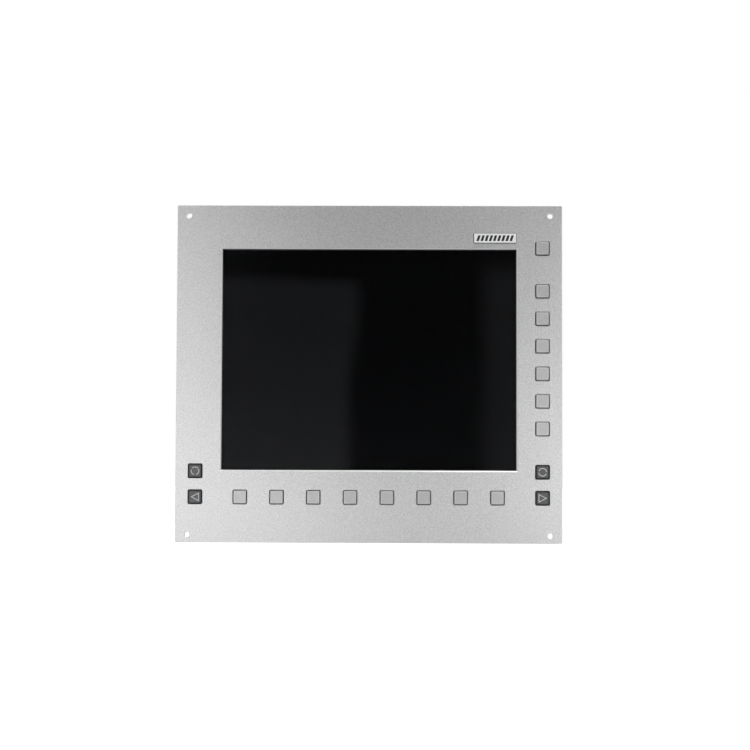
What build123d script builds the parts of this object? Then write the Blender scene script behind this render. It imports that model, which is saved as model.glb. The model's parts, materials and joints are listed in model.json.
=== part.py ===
from build123d import *
import os

# Flat display panel for a machine control: a 4 mm front plate with a 15-inch 4:3 display behind touch
# glass, nineteen keys round it, and a sheet-metal rear cover over the electronics.
# Millimetres. +X right and +Z up as an operator sees it, +Y from the front face into the cabinet.
# The origin is the centre of the four mounting holes, on the plate's rear (mounting) face.

# ---- driving dimensions -----------------------------------------------------------------------
PLATE_W = 400.0          # front plate
PLATE_H = 350.0
PLATE_T = 4.0
PLATE_Z = 1.5            # plate centre above the hole pattern's centre
PLATE_CORNER = 1.5
HOLE_SPAN_X = 375.0      # mounting holes, clearance for M5
HOLE_SPAN_Z = 331.0
HOLE_R = 2.65

DISPLAY_W = 304.1        # active area of a 15-inch 4:3 display
DISPLAY_H = 228.1
WINDOW_EDGE = 0.7        # black border left showing round the active area
WINDOW_W = DISPLAY_W + 2 * WINDOW_EDGE
WINDOW_H = DISPLAY_H + 2 * WINDOW_EDGE
WINDOW_Z = PLATE_Z + 14.6

KEY_CAP = 13.4           # square key caps
KEY_GAP = 0.55           # cap to cut-out, each side
KEY_HOLE = KEY_CAP + 2 * KEY_GAP
KEY_PROUD = 1.2          # caps stand this far out of the plate
KEY_TRAVEL = 1.0
KEY_FLANGE = 16.0        # stop behind the plate
KEY_FLANGE_T = 1.2
KEY_REST_GAP = 0.1       # flange to plate at rest
KEY_FLANGE_BACK = KEY_REST_GAP + KEY_FLANGE_T
PLUNGER_R, PLUNGER_T = 2.5, 1.0
FACE_SUNK = 0.12         # the middle of a cap's face lies this far below its rim
ENGRAVED = 0.3           # depth of symbols
RING_R, STROKE = 3.95, 0.95
LEFT_RING_GAPS = ((35, 9), (149, 25), (270, 34))
RIGHT_RING_GAPS = ((175, 28), (348, 28))
ROW_PITCH = DISPLAY_W / 8            # eight soft keys share the display's width
COLUMN_PITCH = DISPLAY_H / 8         # side keys are an eighth of its height apart
COLUMN_X = 179.5
ROW_Z = PLATE_Z - 128.0
END_KEY_GAP = 44.5       # last side key to the key above or below the group

GLASS_W, GLASS_H, GLASS_T = 321.0, 245.0, 3.0
SEAL_T = 0.8             # window seal between plate and glass
PAD_T = 1.0              # foam between glass and display
LCD_W, LCD_H, LCD_T = 326.5, 253.5, 12.0
GLASS_Y = SEAL_T
LCD_Y = GLASS_Y + GLASS_T + PAD_T
LCD_BACK = LCD_Y + LCD_T
LCD_OPEN_W, LCD_OPEN_H = DISPLAY_W + 3, DISPLAY_H + 3    # opening in the display's own frame
BEZEL_T = 1.0            # the display's pressed frame
BEZEL_DEPTH = 11.0
CELL_T = 2.0             # liquid-crystal cell
SIDE_SCREW_Y = LCD_Y + 7.5
SIDE_SCREW_Z = 55.0      # side screws above and below the display's centre
SIDE_HOLE_R, SIDE_HOLE_DEPTH = 1.4, 4.0

SHEET = 1.5              # chassis and cover sheet
CHASSIS_W, CHASSIS_H = 374.0, 305.0
CHASSIS_Y = 20.0
CHASSIS_BACK = CHASSIS_Y + SHEET
PCB_T = 1.6
BOARD_Y = 32.0           # front face of the two main boards
BOARD_BACK = BOARD_Y + PCB_T
BOARD_H = 110.0
BOARD_LOW = -92.5        # lower edge of both main boards
VIDEO_BOARD_W, VIDEO_BOARD_X = 140.0, -50.0
POWER_BOARD_W, POWER_BOARD_X = 90.0, 95.0

COVER_W, COVER_H = 381.0, 310.0
COVER_DEPTH = 60.0       # behind the mounting face
BAY_DEPTH = 30.0         # depth of the stepped-in connector bay
BAY_TOP = -95.0          # the bay reaches from the cover's foot up to here
GASKET_W, GASKET_H = 392.0, 323.5
GASKET_BAND, GASKET_T = 4.0, 3.0

MAT_T = 1.0
DOME_T = KEY_TRAVEL + 1.0            # a dome collapses by the key's travel
KEY_BOARD_Y = KEY_FLANGE_BACK + PLUNGER_T + DOME_T + MAT_T   # front face of the key boards
KEY_BOARD_BACK = KEY_BOARD_Y + PCB_T
THREAD_GAP = 0.1         # radial room round every screw and stud
M3, M4 = 1.5, 2.0        # screw radii
KEY_STUD_END = KEY_BOARD_BACK + 3.1
CHASSIS_STUD_END = CHASSIS_BACK + 4.3
COVER_PILLAR, BOARD_POST = 8.0, 5.5  # hexagonal standoffs, across flats
SPIGOT = 0.36            # radius of a standoff's clinched end, as a share of that

# ---- places that repeat -----------------------------------------------------------------------
ROW_KEYS = [((i - 3.5) * ROW_PITCH, ROW_Z) for i in range(8)]
SIDE_KEYS = [(COLUMN_X, WINDOW_Z + (2.5 - i) * COLUMN_PITCH) for i in range(6)]
TOP_KEY = (COLUMN_X, SIDE_KEYS[0][1] + END_KEY_GAP)
SCREEN_KEY_Z = SIDE_KEYS[-1][1] - END_KEY_GAP
SCREEN_KEYS = [(-COLUMN_X, SCREEN_KEY_Z), (COLUMN_X, SCREEN_KEY_Z)]
PAGE_KEYS = [(-COLUMN_X, ROW_Z), (COLUMN_X, ROW_Z)]
RIGHT_KEYS = [TOP_KEY] + SIDE_KEYS + [SCREEN_KEYS[1], PAGE_KEYS[1]]
LEFT_KEYS = [SCREEN_KEYS[0], PAGE_KEYS[0]]
ALL_KEYS = ROW_KEYS + RIGHT_KEYS + LEFT_KEYS

SIDE_BOARD_X = 178.75    # centre of the side key boards
END_STUD = 12.25         # stud beyond the last key of a column
BETWEEN_TOP = (TOP_KEY[1] + SIDE_KEYS[0][1]) / 2
BETWEEN_SCREEN = (SIDE_KEYS[-1][1] + SCREEN_KEY_Z) / 2
ROW_STUDS = [(x, ROW_Z) for x in (-146, -2 * ROW_PITCH, 0, 2 * ROW_PITCH, 146)]
RIGHT_STUDS = [(SIDE_BOARD_X, z) for z in (TOP_KEY[1] + END_STUD, BETWEEN_TOP, WINDOW_Z,
                                           BETWEEN_SCREEN, ROW_Z - END_STUD)]
LEFT_STUDS = [(-SIDE_BOARD_X, z) for z in (SCREEN_KEY_Z + END_STUD + 1, ROW_Z - END_STUD)]
KEY_STUDS = ROW_STUDS + RIGHT_STUDS + LEFT_STUDS
CHASSIS_STUDS = [(x, z) for x in (-150, -55, 55, 150) for z in (-147.5, 147.5)]
TALL_PILLARS = [(x, z) for x in (-180, 180) for z in (-82, 20, 140)]
SHORT_PILLARS = [(x, -143) for x in (-180, 0, 180)]
BOARD_EDGE = 5.0         # standoffs in from the boards' edges
BOARD_POSTS = [(cx + sx * (w / 2 - BOARD_EDGE), z)
               for cx, w in ((VIDEO_BOARD_X, VIDEO_BOARD_W), (POWER_BOARD_X, POWER_BOARD_W))
               for sx in (-1, 1)
               for z in (BOARD_LOW + BOARD_EDGE + 14, BOARD_LOW + BOARD_H - BOARD_EDGE)]

BRACKET_T = 1.2
BRACKET_FOOT = 13.0
BRACKET_REACH = 80.0     # half the length of the display brackets
FOOT_SCREWS = [(sx * (LCD_W / 2 - 7), WINDOW_Z + sz * 65) for sx in (-1, 1) for sz in (-1, 1)]

# packages on the video board: centre x and z, width, height, thickness, the largest first
CHIPS = [(-66, -20, 24, 24, 2.4), (-98, -22, 18, 12, 1.4), (-26, -40, 14, 14, 1.6),
         (-30, 0, 10, 18, 2.0), (4, -20, 12, 8, 1.8), (-98, -46, 9, 6, 1.6)]

EARTH_X, EARTH_Z = 150.0, -125.0
EARTH_NECK, EARTH_LENGTH = 3.0, 16.0
VIDEO_X, SERIAL_X, USB_X, POWER_X = -95.0, -45.0, -5.0, 95.0
LEAD_GAP = 4.0           # half height of the chassis slots for leads
DISPLAY_LEAD_Z = 40.0
KEYPAD_LEAD_Z = -118.0
TOUCH_LEAD_X, TOUCH_LEAD_Z = VIDEO_X + 12, -112.1
LEAD_END_Y, LEAD_END_Z = 25.5, -90.0   # where the touch and keypad leads enter the video board
SOCKET_DROP = 3.5        # upper sockets below the boards' top edge
KEY_SOCKET_T = 3.0


# ---- helpers ----------------------------------------------------------------------------------
def block(x, y, z):
    """A box given by its low and high value along each axis."""
    (x0, x1), (y0, y1), (z0, z1) = x, y, z
    return Pos((x0 + x1) / 2, (y0 + y1) / 2, (z0 + z1) / 2) * Box(x1 - x0, y1 - y0, z1 - z0)


def slab(width, height, y0, y1, x=0.0, z=0.0, corner=0.0):
    """An upright plate parallel to the front, with rounded corners if asked."""
    plate = Pos(x, (y0 + y1) / 2, z) * Box(width, y1 - y0, height)
    return fillet(plate.edges().filter_by(Axis.Y), corner) if corner else plate


def frame(outer, inner, y0, y1, z=0.0):
    """A flat rectangular ring from two (width, height) sizes."""
    return slab(*outer, y0, y1, z=z) - slab(*inner, y0 - 1, y1 + 1, z=z)


def rod(radius, y0, y1, x, z):
    """A round bar along Y."""
    return Pos(x, (y0 + y1) / 2, z) * Rot(X=90) * Cylinder(radius, y1 - y0)


def hex_bar(across, y0, y1, x, z):
    """A hexagonal bar along Y."""
    outline = RegularPolygon(across / 2, 6, major_radius=False)
    return Pos(x, y0, z) * Rot(X=-90) * extrude(outline, y1 - y0)


def upright_rod(radius, z0, z1, x, y):
    """A round bar along Z."""
    return Pos(x, y, (z0 + z1) / 2) * Cylinder(radius, z1 - z0)


def pan_screw(radius, y_seat, length, x, z):
    """A pan-head screw driven towards the front, its head standing behind y_seat."""
    head_r, head_h = radius * 1.85, radius * 1.25
    head = rod(head_r, y_seat, y_seat + head_h, x, z)
    head = fillet(head.faces().sort_by(Axis.Y)[-1].edges(), head_h * 0.45)
    socket = hex_bar(radius * 1.25, y_seat + head_h * 0.4, y_seat + head_h + 1, x, z)
    return head + rod(radius, y_seat - length, y_seat, x, z) - socket


def nut(radius, y0, x, z):
    """A hexagon nut whose front face is at y0."""
    across, thick = radius * 3.6, radius * 1.6
    bore = rod(radius + THREAD_GAP, y0 - 1, y0 + thick + 1, x, z)
    return hex_bar(across, y0, y0 + thick, x, z) - bore


def tube(outer_r, inner_r, y0, y1, x, z):
    """A plain spacer."""
    return rod(outer_r, y0, y1, x, z) - rod(inner_r, y0 - 1, y1 + 1, x, z)


def pillar(across, y0, y1, radius, x, z):
    """A hexagonal standoff clinched into the chassis, tapped from behind."""
    spigot = rod(across * SPIGOT, CHASSIS_Y, y0, x, z)
    tapped = rod(radius + THREAD_GAP, y1 - 9, y1 + 1, x, z)
    return hex_bar(across, y0, y1, x, z) + spigot - tapped


def strip(points, radius, thick):
    """The outline of a thin strip that follows a path with rounded corners, as a face."""
    return trace(FilletPolyline(*points, radius=radius), thick)


def lead_up(points, radius, thick, width, x):
    """A flat lead bent in the YZ plane, width along X."""
    outline = Plane.YZ * strip(points, radius, thick)
    return Pos(x - width / 2, 0, 0) * extrude(outline, width, dir=(1, 0, 0))


def save(name, *solids):
    """Write one node, a single solid or a group of separate solids."""
    shape = solids[0] if len(solids) == 1 else Compound(children=list(solids))
    export_step(shape, f"parts/{name}.step")


# ---- front plate, badge and glass -------------------------------------------------------------
def front_plate():
    plate = slab(PLATE_W, PLATE_H, -PLATE_T, 0, z=PLATE_Z, corner=PLATE_CORNER)
    plate -= slab(WINDOW_W, WINDOW_H, -PLATE_T - 1, 1, z=WINDOW_Z)
    for x, z in ALL_KEYS:
        plate -= slab(KEY_HOLE, KEY_HOLE, -PLATE_T - 1, 1, x=x, z=z, corner=1.5)
    for sx in (-1, 1):
        for sz in (-1, 1):
            plate -= rod(HOLE_R, -PLATE_T - 1, 1, sx * HOLE_SPAN_X / 2, sz * HOLE_SPAN_Z / 2)
    face = plate.faces().sort_by(Axis.Y)[0]
    rims = sorted(face.inner_wires(), key=lambda wire: -wire.length)
    key_and_hole_edges = [edge for rim in rims[1:] for edge in rim.edges()]
    plate = chamfer(key_and_hole_edges, 0.5)
    face = plate.faces().sort_by(Axis.Y)[0]
    window_rim = max(face.inner_wires(), key=lambda wire: wire.length)
    plate = chamfer(window_rim.edges(), 1.0)
    face = plate.faces().sort_by(Axis.Y)[0]
    return chamfer(face.outer_wire().edges(), 0.6)


def badge_plate():
    """A blank name plate, its right end in line with the window, engraved with plain slanting bars."""
    width, height, thick, engraved = 44.8, 10.6, 1.6, 0.3
    x, z = WINDOW_W / 2 - width / 2, WINDOW_Z + WINDOW_H / 2 + 11.5
    badge = slab(width, height, -PLATE_T - thick, -PLATE_T, x=x, z=z, corner=1.2)
    badge = chamfer(badge.faces().sort_by(Axis.Y)[0].outer_wire().edges(), 0.6)
    bar_count, bar_pitch, bar_half, slant, rise = 9, 4.3, 1.3, 1.0, 3.0
    for i in range(bar_count):
        bx = x + (i - (bar_count - 1) / 2) * bar_pitch
        bar = make_face(Polyline((bx - bar_half - slant, z - rise), (bx + bar_half - slant, z - rise),
                                 (bx + bar_half + slant, z + rise), (bx - bar_half + slant, z + rise),
                                 close=True))
        badge -= Pos(0, -PLATE_T - thick + engraved, 0) * extrude(Plane.XZ * bar, 1)
    return badge


def window_seal():
    """Black foam between plate and glass, its inner edge showing as a border inside the window."""
    return frame((GLASS_W - 2, GLASS_H - 2), (DISPLAY_W, DISPLAY_H), 0, SEAL_T, z=WINDOW_Z)


def touch_glass():
    return slab(GLASS_W, GLASS_H, GLASS_Y, GLASS_Y + GLASS_T, z=WINDOW_Z, corner=1.5)


def touch_tail():
    """The touch sensor's flat tail: out of the glass's lower edge, under the display, to the board."""
    mid = GLASS_Y + GLASS_T / 2
    route = [(mid, WINDOW_Z - GLASS_H / 2), (mid, TOUCH_LEAD_Z),
             (LEAD_END_Y, TOUCH_LEAD_Z), (LEAD_END_Y, LEAD_END_Z)]
    return lead_up(route, 2.0, 0.3, 12.0, TOUCH_LEAD_X)


# ---- display module ---------------------------------------------------------------------------
def lcd_pad():
    return frame((GLASS_W - 2, GLASS_H - 2), (LCD_OPEN_W, LCD_OPEN_H),
                 GLASS_Y + GLASS_T, LCD_Y, z=WINDOW_Z)


def side_screw_holes():
    """Holes into each side of the display for the bracket screws."""
    middle, length = LCD_W / 2 - SIDE_HOLE_DEPTH / 2 + 1, SIDE_HOLE_DEPTH + 2
    return [Pos(sx * middle, SIDE_SCREW_Y, WINDOW_Z + sz * SIDE_SCREW_Z)
            * Rot(Y=90) * Cylinder(SIDE_HOLE_R, length) for sx in (-1, 1) for sz in (-1, 1)]


def lcd_bezel():
    """The display's pressed-steel front frame: a lip round the picture and four side walls."""
    shell = slab(LCD_W, LCD_H, LCD_Y, LCD_Y + BEZEL_DEPTH, z=WINDOW_Z)
    shell -= slab(LCD_W - 2 * BEZEL_T, LCD_H - 2 * BEZEL_T,
                  LCD_Y + BEZEL_T, LCD_Y + BEZEL_DEPTH + 1, z=WINDOW_Z)
    shell -= slab(LCD_OPEN_W, LCD_OPEN_H, LCD_Y - 1, LCD_Y + 2, z=WINDOW_Z)
    for hole in side_screw_holes():
        shell -= hole
    return shell


def lcd_cell():
    border, low = 14.0, LCD_Y + BEZEL_T
    return slab(DISPLAY_W + border, DISPLAY_H + border, low, low + CELL_T, z=WINDOW_Z)


def backlight_unit():
    """Light guide, diffusers and steel back of the display, as one block with a stepped back."""
    room, step = 0.1, 12.0
    width, height = LCD_W - 2 * (BEZEL_T + room), LCD_H - 2 * (BEZEL_T + room)
    unit = slab(width, height, LCD_Y + BEZEL_T + CELL_T, LCD_Y + BEZEL_DEPTH, z=WINDOW_Z)
    unit += slab(width - 2 * step, height - 2 * step, LCD_Y + BEZEL_DEPTH, LCD_BACK, z=WINDOW_Z)
    for hole in side_screw_holes():
        unit -= hole
    return unit


def lcd_bracket(side):
    """An angle that hangs the display from the chassis: a wall beside it, a foot behind it."""
    edge = LCD_W / 2
    wall = block((edge, edge + BRACKET_T), (LCD_Y + 2, CHASSIS_Y),
                 (WINDOW_Z - BRACKET_REACH, WINDOW_Z + BRACKET_REACH))
    foot = block((edge - BRACKET_FOOT, edge + BRACKET_T), (CHASSIS_Y - BRACKET_T, CHASSIS_Y),
                 (WINDOW_Z - BRACKET_REACH, WINDOW_Z + BRACKET_REACH))
    angle = wall + foot
    if side < 0:
        angle = mirror(angle, Plane.YZ)
    for hole in side_screw_holes():
        angle -= hole
    for x, z in FOOT_SCREWS:
        angle -= rod(M3 + THREAD_GAP, CHASSIS_Y - 3, CHASSIS_Y + 1, x, z)
    return angle


def display_side_screws():
    """Four M2.5 screws that hold the brackets to the display's sides."""
    radius, head_r, head_h, length = 1.25, 2.2, 1.3, 4.0
    screws = []
    for sx in (-1, 1):
        for sz in (-1, 1):
            seat = LCD_W / 2 + BRACKET_T
            head = Pos(sx * (seat + head_h / 2), 0, 0) * Rot(Y=90) * Cylinder(head_r, head_h)
            shank = Pos(sx * (seat - length / 2), 0, 0) * Rot(Y=90) * Cylinder(radius, length)
            screws.append(Pos(0, SIDE_SCREW_Y, WINDOW_Z + sz * SIDE_SCREW_Z) * (head + shank))
    return screws


# ---- keys -------------------------------------------------------------------------------------
def key_cap(x, z, symbol=None):
    """A key cap with a bevelled rim, a slightly sunk face, a stop flange and a plunger behind."""
    front = -PLATE_T - KEY_PROUD
    cap = slab(KEY_CAP, KEY_CAP, front, KEY_REST_GAP, x=x, z=z, corner=1.0)
    cap = chamfer(cap.faces().sort_by(Axis.Y)[0].outer_wire().edges(), 0.5)
    cap -= slab(11.0, 11.0, front - 1, front + FACE_SUNK, x=x, z=z, corner=0.6)
    if symbol:
        cap -= symbol(x, z, front + FACE_SUNK)
    cap += slab(KEY_FLANGE, KEY_FLANGE, KEY_REST_GAP, KEY_FLANGE_BACK, x=x, z=z, corner=1.0)
    return cap + rod(PLUNGER_R, KEY_FLANGE_BACK, KEY_FLANGE_BACK + PLUNGER_T, x, z)


def sector(x, z, turn, reach, opening):
    """A thin wedge from a key's centre outwards, as wide as an opening angle in degrees."""
    half = opening / 2
    corners = [Vector(0, 0)] + [Vector(reach, 0).rotate(Axis.Z, turn + a) for a in (-half, half)]
    return make_face(Polyline(*[(x + c.X, z + c.Y) for c in corners], close=True))


def engrave(outline, y):
    """Cut an outline drawn in X and Z into a face at y."""
    return Pos(0, y + ENGRAVED, 0) * extrude(Plane.XZ * outline, ENGRAVED + 1)


def ring_symbol(gaps):
    """A ring broken into arcs by gaps, each a direction and a width in degrees: the screen key."""
    def cut(x, z, y):
        ring = Pos(x, z) * (Circle(RING_R + STROKE / 2) - Circle(RING_R - STROKE / 2))
        for turn, opening in gaps:
            ring -= sector(x, z, turn, 2 * RING_R, opening)
        return engrave(ring, y)
    return cut


def arrow_symbol(way):
    """A hollow triangle pointing left or right: the key that turns the page."""
    def cut(x, z, y):
        tip, tail, half = 4.7, 4.3, 4.6
        outer = make_face(Polyline((x + way * tip, z), (x - way * tail, z + half),
                                   (x - way * tail, z - half), close=True))
        inner = offset(outer, -STROKE)
        return engrave(outer - inner, y)
    return cut


def dome(x, z):
    """One rubber dome of a key mat, from the mat's sheet to the key's plunger."""
    sheet = KEY_BOARD_Y - MAT_T
    top = KEY_FLANGE_BACK + PLUNGER_T
    return Pos(x, (sheet + top) / 2, z) * Rot(X=90) * Cone(5.5, 3.4, sheet - top)


def key_mat(width, height, x, z, keys):
    """A silicone mat with a dome under each key and clearance round the studs' spacers."""
    mat = slab(width, height, KEY_BOARD_Y - MAT_T, KEY_BOARD_Y, x=x, z=z)
    for sx, sz in KEY_STUDS:
        mat -= rod(3.4, KEY_BOARD_Y - 2, KEY_BOARD_Y + 1, sx, sz)
    for kx, kz in keys:
        mat += dome(kx, kz)
    return mat


def key_board(width, height, x, z):
    board = slab(width, height, KEY_BOARD_Y, KEY_BOARD_Y + PCB_T, x=x, z=z, corner=1.0)
    for sx, sz in KEY_STUDS:
        board -= rod(M3 + THREAD_GAP, KEY_BOARD_Y - 1, KEY_BOARD_Y + 3, sx, sz)
    return board


# ---- studs, spacers, chassis ------------------------------------------------------------------
def plate_studs():
    """Welded studs on the plate's rear face, and short ones for the key boards."""
    short = [rod(M3, 0, KEY_STUD_END, x, z) for x, z in KEY_STUDS]
    return short + [rod(M4, 0, CHASSIS_STUD_END, x, z) for x, z in CHASSIS_STUDS]


def stud_nuts():
    small = [nut(M3, KEY_BOARD_Y + PCB_T, x, z) for x, z in KEY_STUDS]
    return small + [nut(M4, CHASSIS_BACK, x, z) for x, z in CHASSIS_STUDS]


def spacers():
    small = [tube(2.8, M3 + THREAD_GAP, 0, KEY_BOARD_Y, x, z) for x, z in KEY_STUDS]
    return small + [tube(3.0, M4 + THREAD_GAP, 0, CHASSIS_Y, x, z) for x, z in CHASSIS_STUDS]


def chassis_plate():
    """The steel sheet behind the display that carries the boards and the rear cover."""
    sheet = slab(CHASSIS_W, CHASSIS_H, CHASSIS_Y, CHASSIS_BACK, corner=3.0)
    low, high = CHASSIS_Y - 1, CHASSIS_BACK + 1
    for x, z in CHASSIS_STUDS:
        sheet -= rod(M4 + THREAD_GAP, low, high, x, z)
    for x, z in TALL_PILLARS + SHORT_PILLARS:
        sheet -= rod(COVER_PILLAR * SPIGOT + THREAD_GAP, low, high, x, z)
    for x, z in BOARD_POSTS:
        sheet -= rod(BOARD_POST * SPIGOT + THREAD_GAP, low, high, x, z)
    for x, z in FOOT_SCREWS:
        sheet -= rod(M3 + THREAD_GAP, low, high, x, z)
    slots = ((VIDEO_X, DISPLAY_LEAD_Z, 26), (POWER_X, DISPLAY_LEAD_Z, 14),
             (SERIAL_X, KEYPAD_LEAD_Z, 30), (TOUCH_LEAD_X, TOUCH_LEAD_Z, 18))
    for x, z, width in slots:
        sheet -= slab(width, 2 * LEAD_GAP, low, high, x=x, z=z, corner=2.0)
    return sheet


def cover_pillars():
    tall = [pillar(COVER_PILLAR, CHASSIS_BACK, COVER_DEPTH - SHEET, M4, x, z) for x, z in TALL_PILLARS]
    return tall + [pillar(COVER_PILLAR, CHASSIS_BACK, BAY_DEPTH - SHEET, M4, x, z)
                   for x, z in SHORT_PILLARS]


def board_posts():
    return [pillar(BOARD_POST, CHASSIS_BACK, BOARD_Y, M3, x, z) for x, z in BOARD_POSTS]


def m3_screws():
    """Screws through the boards into their posts, and through the chassis into the display brackets."""
    boards = [pan_screw(M3, BOARD_BACK, 7, x, z) for x, z in BOARD_POSTS]
    return boards + [pan_screw(M3, CHASSIS_BACK, 3.6, x, z) for x, z in FOOT_SCREWS]


# ---- boards -----------------------------------------------------------------------------------
def main_board(width, x):
    z = BOARD_LOW + BOARD_H / 2
    board = slab(width, BOARD_H, BOARD_Y, BOARD_BACK, x=x, z=z, corner=1.5)
    for px, pz in BOARD_POSTS:
        board -= rod(M3 + THREAD_GAP, BOARD_Y - 1, BOARD_BACK + 1, px, pz)
    return board


def board_chips():
    """Packages on the two boards, and the sockets that take the leads."""
    chips = [slab(w, h, BOARD_BACK, BOARD_BACK + t, x=x, z=z) for x, z, w, h, t in CHIPS]
    top = BOARD_LOW + BOARD_H
    upper, lower = (top - 10, top - SOCKET_DROP), (LEAD_END_Z, LEAD_END_Z + 6)
    for x, width in ((VIDEO_X, 24.0), (POWER_X, 12.0)):
        chips.append(block((x - width / 2, x + width / 2), (BOARD_BACK, BOARD_BACK + 4), upper))
    for x, width in ((SERIAL_X, 26.0), (TOUCH_LEAD_X, 14.0)):
        chips.append(block((x - width / 2, x + width / 2), (LEAD_END_Y - 2, BOARD_Y), lower))
    chips.append(block((SERIAL_X - 13, SERIAL_X + 13), (KEY_BOARD_BACK, KEY_BOARD_BACK + KEY_SOCKET_T),
                       (KEYPAD_LEAD_Z - 3, KEYPAD_LEAD_Z + 3)))
    return chips


def board_heatsink():
    """A finned block on the largest chip."""
    x, z, width, height, chip_t = CHIPS[0]
    low = BOARD_BACK + chip_t
    sink = slab(34, 34, low, low + 12, x=x, z=z)
    fins, gap = 8, 2.4
    pitch = 34 / fins
    for i in range(fins - 1):
        cx = x - 17 + (i + 1) * pitch
        sink -= slab(gap, 36, low + 3, low + 13, x=cx, z=z)
    return sink


def power_components():
    """Input capacitors, a choke and a fuse holder on the power board."""
    parts = []
    for x in (72, 88, 104):
        can = rod(6.2, BOARD_BACK, BOARD_BACK + 16, x, -2)
        parts.append(fillet(can.faces().sort_by(Axis.Y)[-1].edges(), 0.8))
    parts.append(tube(10, 4.5, BOARD_BACK, BOARD_BACK + 9, 76, -40))
    fuse = slab(22, 8, BOARD_BACK, BOARD_BACK + 8, x=116, z=-52)
    parts.append(fillet(fuse.faces().sort_by(Axis.Y)[-1].edges(), 0.8))
    parts.append(slab(18, 26, BOARD_BACK, BOARD_BACK + 11, x=112, z=-28))
    return parts


# ---- leads ------------------------------------------------------------------------------------
def display_lead(x, width, thick):
    """A lead from the display's back through the chassis and down into a socket on a board."""
    socket_top, y = BOARD_LOW + BOARD_H - SOCKET_DROP, BOARD_BACK + 2
    route = [(LCD_BACK, DISPLAY_LEAD_Z), (y, DISPLAY_LEAD_Z), (y, socket_top)]
    return lead_up(route, 4.0, thick, width, x)


def keypad_leads():
    """The ribbon from the lower key board to the video board, and jumpers to the side key boards."""
    route = [(KEY_BOARD_BACK + KEY_SOCKET_T, KEYPAD_LEAD_Z), (LEAD_END_Y, KEYPAD_LEAD_Z),
             (LEAD_END_Y, LEAD_END_Z)]
    ribbon = lead_up(route, 4.0, 1.0, 24.0, SERIAL_X)
    back, out, near, far = KEY_BOARD_BACK, KEY_BOARD_BACK + 4, 147.0, 172.0
    outline = strip([(near, back), (near, out), (far, out), (far, back)], 1.5, 0.6)
    jumper = Pos(0, 0, -122) * extrude(outline, 7)
    return [ribbon, jumper, mirror(jumper, Plane.YZ)]


# ---- connectors, facing down into the bay -----------------------------------------------------
WALL_IN = BAY_TOP + SHEET + 0.1      # connector bodies stop just inside the cover's wall
SHELL_END = BAY_TOP - 5.0
MOUTH_END = BAY_TOP - 2.5


def d_outline(width, height, corner=1.2):
    """A D-shaped outline, its wide side away from the board."""
    lean = 1.0
    face = make_face(Polyline((-width / 2 + lean, -height / 2), (width / 2 - lean, -height / 2),
                              (width / 2, height / 2), (-width / 2, height / 2), close=True))
    return fillet(face.vertices(), corner)


def jack_posts(x, y, half_span):
    """The two threaded hexagonal posts beside a connector's shell."""
    posts = []
    for sx in (-1, 1):
        outline = RegularPolygon(2.4, 6, major_radius=False)
        post = Pos(x + sx * half_span, y, SHELL_END) * extrude(outline, 5.0)
        shank = upright_rod(1.4, BAY_TOP, WALL_IN + 3, x + sx * half_span, y)
        posts.append(post + shank - upright_rod(1.0, SHELL_END - 1, SHELL_END + 4, x + sx * half_span, y))
    return posts


def serial_connector():
    """A nine-pin D connector: body, shell, pins and jack posts."""
    mid = BOARD_BACK + 6.4
    body = block((SERIAL_X - 15.4, SERIAL_X + 15.4), (BOARD_BACK, BOARD_BACK + 12.6),
                 (WALL_IN, WALL_IN + 12))
    for sx in (-1, 1):
        body -= upright_rod(1.5, WALL_IN - 1, WALL_IN + 4, SERIAL_X + sx * 12.5, mid)
    shell = Pos(SERIAL_X, mid, SHELL_END) * extrude(d_outline(17.0, 8.6) - d_outline(16.0, 7.6, 0.8),
                                                    WALL_IN - SHELL_END)
    body += shell
    pin_pitch, half_row = 2.77, 1.42
    for row, count in ((-half_row, 4), (half_row, 5)):
        for i in range(count):
            x = SERIAL_X + (i - (count - 1) / 2) * pin_pitch
            body += upright_rod(0.5, SHELL_END + 1, WALL_IN + 0.5, x, mid + row)
    return [body] + jack_posts(SERIAL_X, mid, 12.5)


def video_connector():
    """A digital video socket: body, shell, a slotted insert and jack posts."""
    mid, rows, columns, pitch = BOARD_BACK + 6.0, 3, 8, 1.9
    body = block((VIDEO_X - 19.5, VIDEO_X + 19.5), (BOARD_BACK, BOARD_BACK + 12), (WALL_IN, WALL_IN + 12))
    for sx in (-1, 1):
        body -= upright_rod(1.5, WALL_IN - 1, WALL_IN + 4, VIDEO_X + sx * 16.5, mid)
    shell = Rectangle(26, 9) - Rectangle(25, 8)
    body += Pos(VIDEO_X, mid, SHELL_END) * extrude(shell, WALL_IN - SHELL_END)
    body += block((VIDEO_X - 12, VIDEO_X + 12), (mid - 3.5, mid + 3.5), (SHELL_END + 0.8, WALL_IN + 0.5))
    for i in range(columns):
        for j in range(rows):
            x, y = VIDEO_X - 9.5 + i * pitch, mid + (j - 1) * pitch
            body -= block((x - 0.5, x + 0.5), (y - 0.4, y + 0.4), (SHELL_END, SHELL_END + 4))
    body -= block((VIDEO_X + 6, VIDEO_X + 11), (mid - 0.3, mid + 0.3), (SHELL_END, SHELL_END + 4))
    return [body] + jack_posts(VIDEO_X, mid, 16.5)


def usb_connector():
    """A square USB socket with its tongue."""
    mid = BOARD_BACK + 5.5
    body = block((USB_X - 6, USB_X + 6), (BOARD_BACK, BOARD_BACK + 11), (MOUTH_END, WALL_IN + 14))
    mouth = Pos(USB_X, mid, MOUTH_END - 1) * extrude(chamfer(Rectangle(8.5, 7.8).vertices(), 1.0), 10)
    tongue = block((USB_X - 2.8, USB_X + 2.8), (mid - 1.6, mid + 1.6), (MOUTH_END + 1, MOUTH_END + 10))
    return body - mouth + tongue


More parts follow.
